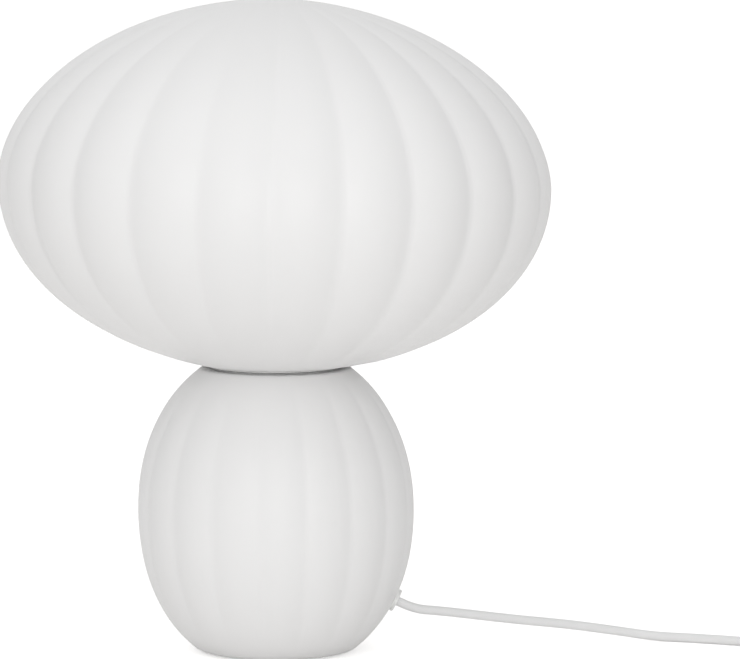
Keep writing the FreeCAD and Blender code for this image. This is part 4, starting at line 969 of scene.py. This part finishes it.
def curve_between(start, leaving, end, arriving, share):
    """A point between two points on a curve with given directions at both."""
    square, cube = share ** 2, share ** 3
    place = (start * (2 * cube - 3 * square + 1) + leaving * (cube - 2 * square + share) +
             end * (3 * square - 2 * cube) + arriving * (cube - square))
    return place.x, place.y


def foot_profile():
    """From under the foot up the outside to the rim, then down the inside."""
    def exponent(above):
        return BASE_UPPER if above > 0 else BASE_LOWER

    def side(inset, low, high, steps):
        """The egg's outline between two heights, made smaller by the inset."""
        half = BASE_HALF - inset

        def angle_at(height):
            share = (height - BASE_CENTRE) / half
            return math.asin(math.copysign(abs(share) ** (exponent(share) / 2), share))
        points = []
        for angle in steady(angle_at(low), angle_at(high), steps):
            radius, rise = superellipse(BASE_RADIUS - inset, half, exponent(angle), angle)
            points.append((radius, BASE_CENTRE + rise))
        return points

    outside = [(0, BASE_FOOT), (BASE_FLAT / 2, BASE_FOOT)]
    for angle in steady(0, BASE_CORNER_TURN, BASE_CORNER_STEPS):
        outside.append((BASE_FLAT + BASE_CORNER * math.sin(angle),
                        BASE_FOOT + BASE_CORNER * (1 - math.cos(angle))))
    belly = side(0, BASE_FOOT + BASE_CORNER / 2, BASE_TOP - BASE_RIM_DROP, BASE_OUTSIDE_STEPS)
    before, after = Vector(outside[-1]), Vector(belly[0])
    slope_in = Vector((math.cos(BASE_CORNER_TURN), math.sin(BASE_CORNER_TURN)))
    slope_out = (Vector(belly[1]) - after).normalized()
    span = (after - before).length
    for share in (0.25, 0.5, 0.75):
        outside.append(curve_between(before, slope_in * span, after, slope_out * span, share))
    outside += belly
    shoulder = belly[-1][0]
    for angle in (40, 55, 70, 90):
        turn = math.radians(angle)
        outside.append((BASE_RIM + (shoulder - BASE_RIM) * math.cos(turn),
                        BASE_TOP - BASE_RIM_DROP * (1 - math.sin(turn))))
    rows = []
    for radius, height in outside:
        groove = ramp((height - BASE_FOOT) / BASE_FADE) * ramp((BASE_TOP - height) / BASE_FADE)
        rows.append((radius, height, groove, 0))
    inside = [(BASE_MOUTH + EDGE, BASE_TOP), (BASE_MOUTH, BASE_TOP - EDGE),
              (BASE_MOUTH, BASE_LIP_UNDER + EDGE), (BASE_MOUTH + EDGE, BASE_LIP_UNDER)]
    inside += side(BASE_WALL, BASE_LIP_UNDER, BASE_FOOT + BASE_FLOOR, BASE_INSIDE_STEPS)
    inside.append((0, BASE_FOOT + BASE_FLOOR))
    return rows + [(radius, height, 0, 0) for radius, height in inside]


def blow_glass():
    """Cap and foot. Returns the foot's mesh, which the gland's washer lies on."""
    tree = turning_tree()
    cap = turned_glass("cap", cap_profile(), tree, {
        "Steps round": SHADE_LOBES * STEPS_A_SHADE_LOBE, "Lobes": SHADE_LOBES,
        "Groove depth": SHADE_GROOVE * MM, "Full radius": SHADE_RADIUS * MM,
        "Groove turn": SHADE_TURN / 360, "Lean": math.radians(SHADE_LEAN), "Lean height": SHADE_CENTRE * MM,
        "Material": OPAL})
    add_piece("cap", cap, "opal_glass", "shade", "glass_shade")
    foot = turned_glass("foot", foot_profile(), tree, {
        "Steps round": BASE_LOBES * STEPS_A_BASE_LOBE, "Lobes": BASE_LOBES,
        "Groove depth": BASE_GROOVE * MM, "Full radius": BASE_RADIUS * MM,
        "Groove turn": BASE_TURN / 360, "Lean": 0.0, "Material": OPAL})
    add_piece("foot", foot, "opal_glass", "lamp", "glass_base")
    return foot


# Floor, backdrop and light

SKY_LIGHT = 0.658
# how much weaker the sky's light is from the right, and how sharply that comes on
RIGHT_SHADE = 0.32
RIGHT_POWER = 3.0
# the part of the floor's look that doesn't come from the lights
FLOOR_GLOW = 0.52
FLOOR_COLOUR = (0.925, 0.916, 0.905, 1)
FLOOR_REACH = 40.0
WHITE = (1, 1, 1, 1)
# place in millimetres, size in metres and power in watts of each soft light
SOFTBOXES = {"front_light": ((0, -3000, 500), 1.0, 25), "top_light": ((0, -500, 2800), 3.0, 14.7)}


def seen_share(tree):
    """1 for what the camera sees, straight or in a reflection, and 0 for light on surfaces."""
    path = tree.nodes.new("ShaderNodeLightPath").outputs
    seen = maths(tree, "MAXIMUM", path["Is Camera Ray"], path["Is Glossy Ray"])
    return maths(tree, "MAXIMUM", seen, path["Is Transmission Ray"])


def lay_floor():
    """A pale floor that keeps the lamp's shadow and looks white from any side."""
    mesh = bpy.data.meshes.new("floor")
    corners = [(across * FLOOR_REACH, along * FLOOR_REACH, 0)
               for across, along in ((-1, -1), (1, -1), (1, 1), (-1, 1))]
    mesh.from_pydata(corners, [], [(0, 1, 2, 3)])
    floor = bpy.data.objects.new("floor", mesh)
    scene.collection.objects.link(floor)
    material = bpy.data.materials.new("floor")
    material.use_nodes = True
    tree = material.node_tree
    tree.nodes.clear()
    lit = put(tree, "ShaderNodeBsdfDiffuse", Color=FLOOR_COLOUR)
    glow = put(tree, "ShaderNodeEmission", Color=WHITE,
               Strength=maths(tree, "MULTIPLY", seen_share(tree), FLOOR_GLOW))
    both = tree.nodes.new("ShaderNodeAddShader")
    feed(tree, both.inputs[0], lit.outputs[0])
    feed(tree, both.inputs[1], glow.outputs[0])
    put(tree, "ShaderNodeOutputMaterial", Surface=both.outputs[0])
    mesh.materials.append(material)


def light_world():
    """White where it is seen. As a light it is weaker, and darker on the right."""
    world = bpy.data.worlds.new("studio")
    scene.world = world
    world.use_nodes = True
    tree = world.node_tree
    tree.nodes.clear()
    place = tree.nodes.new("ShaderNodeTexCoord").outputs["Generated"]
    aside = put(tree, "ShaderNodeSeparateXYZ", Vector=place).outputs[0]
    rightwards = maths(tree, "POWER", maths(tree, "MAXIMUM", aside, 0.0), RIGHT_POWER)
    lit = maths(tree, "MULTIPLY_ADD", rightwards, -RIGHT_SHADE, SKY_LIGHT)
    strength = maths(tree, "MULTIPLY_ADD", seen_share(tree), maths(tree, "SUBTRACT", 1.0, lit), lit)
    sky = put(tree, "ShaderNodeBackground", Color=WHITE, Strength=strength)
    put(tree, "ShaderNodeOutputWorld", Surface=sky.outputs[0])


def add_softboxes():
    """Square soft lights that face the middle of the lamp."""
    for name, (place, size, power) in SOFTBOXES.items():
        light = bpy.data.lights.new(name, "AREA")
        light.shape = "SQUARE"
        light.size = size
        light.energy = power
        softbox = bpy.data.objects.new(name, light)
        softbox.location = mm(*place)
        aim = mm(0, 0, MIDDLE_HEIGHT) - softbox.location
        softbox.rotation_euler = aim.to_track_quat("-Z", "Y").to_euler()
        scene.collection.objects.link(softbox)


place_camera()
dress_nodes()
make_tie()
lay_cords()
lay_inner_cord()
make_soft_rings()
make_threads()
make_clamp_pads()
make_gland_washer(blow_glass())
lay_floor()
light_world()
add_softboxes()
scene.view_settings.view_transform = "Standard"
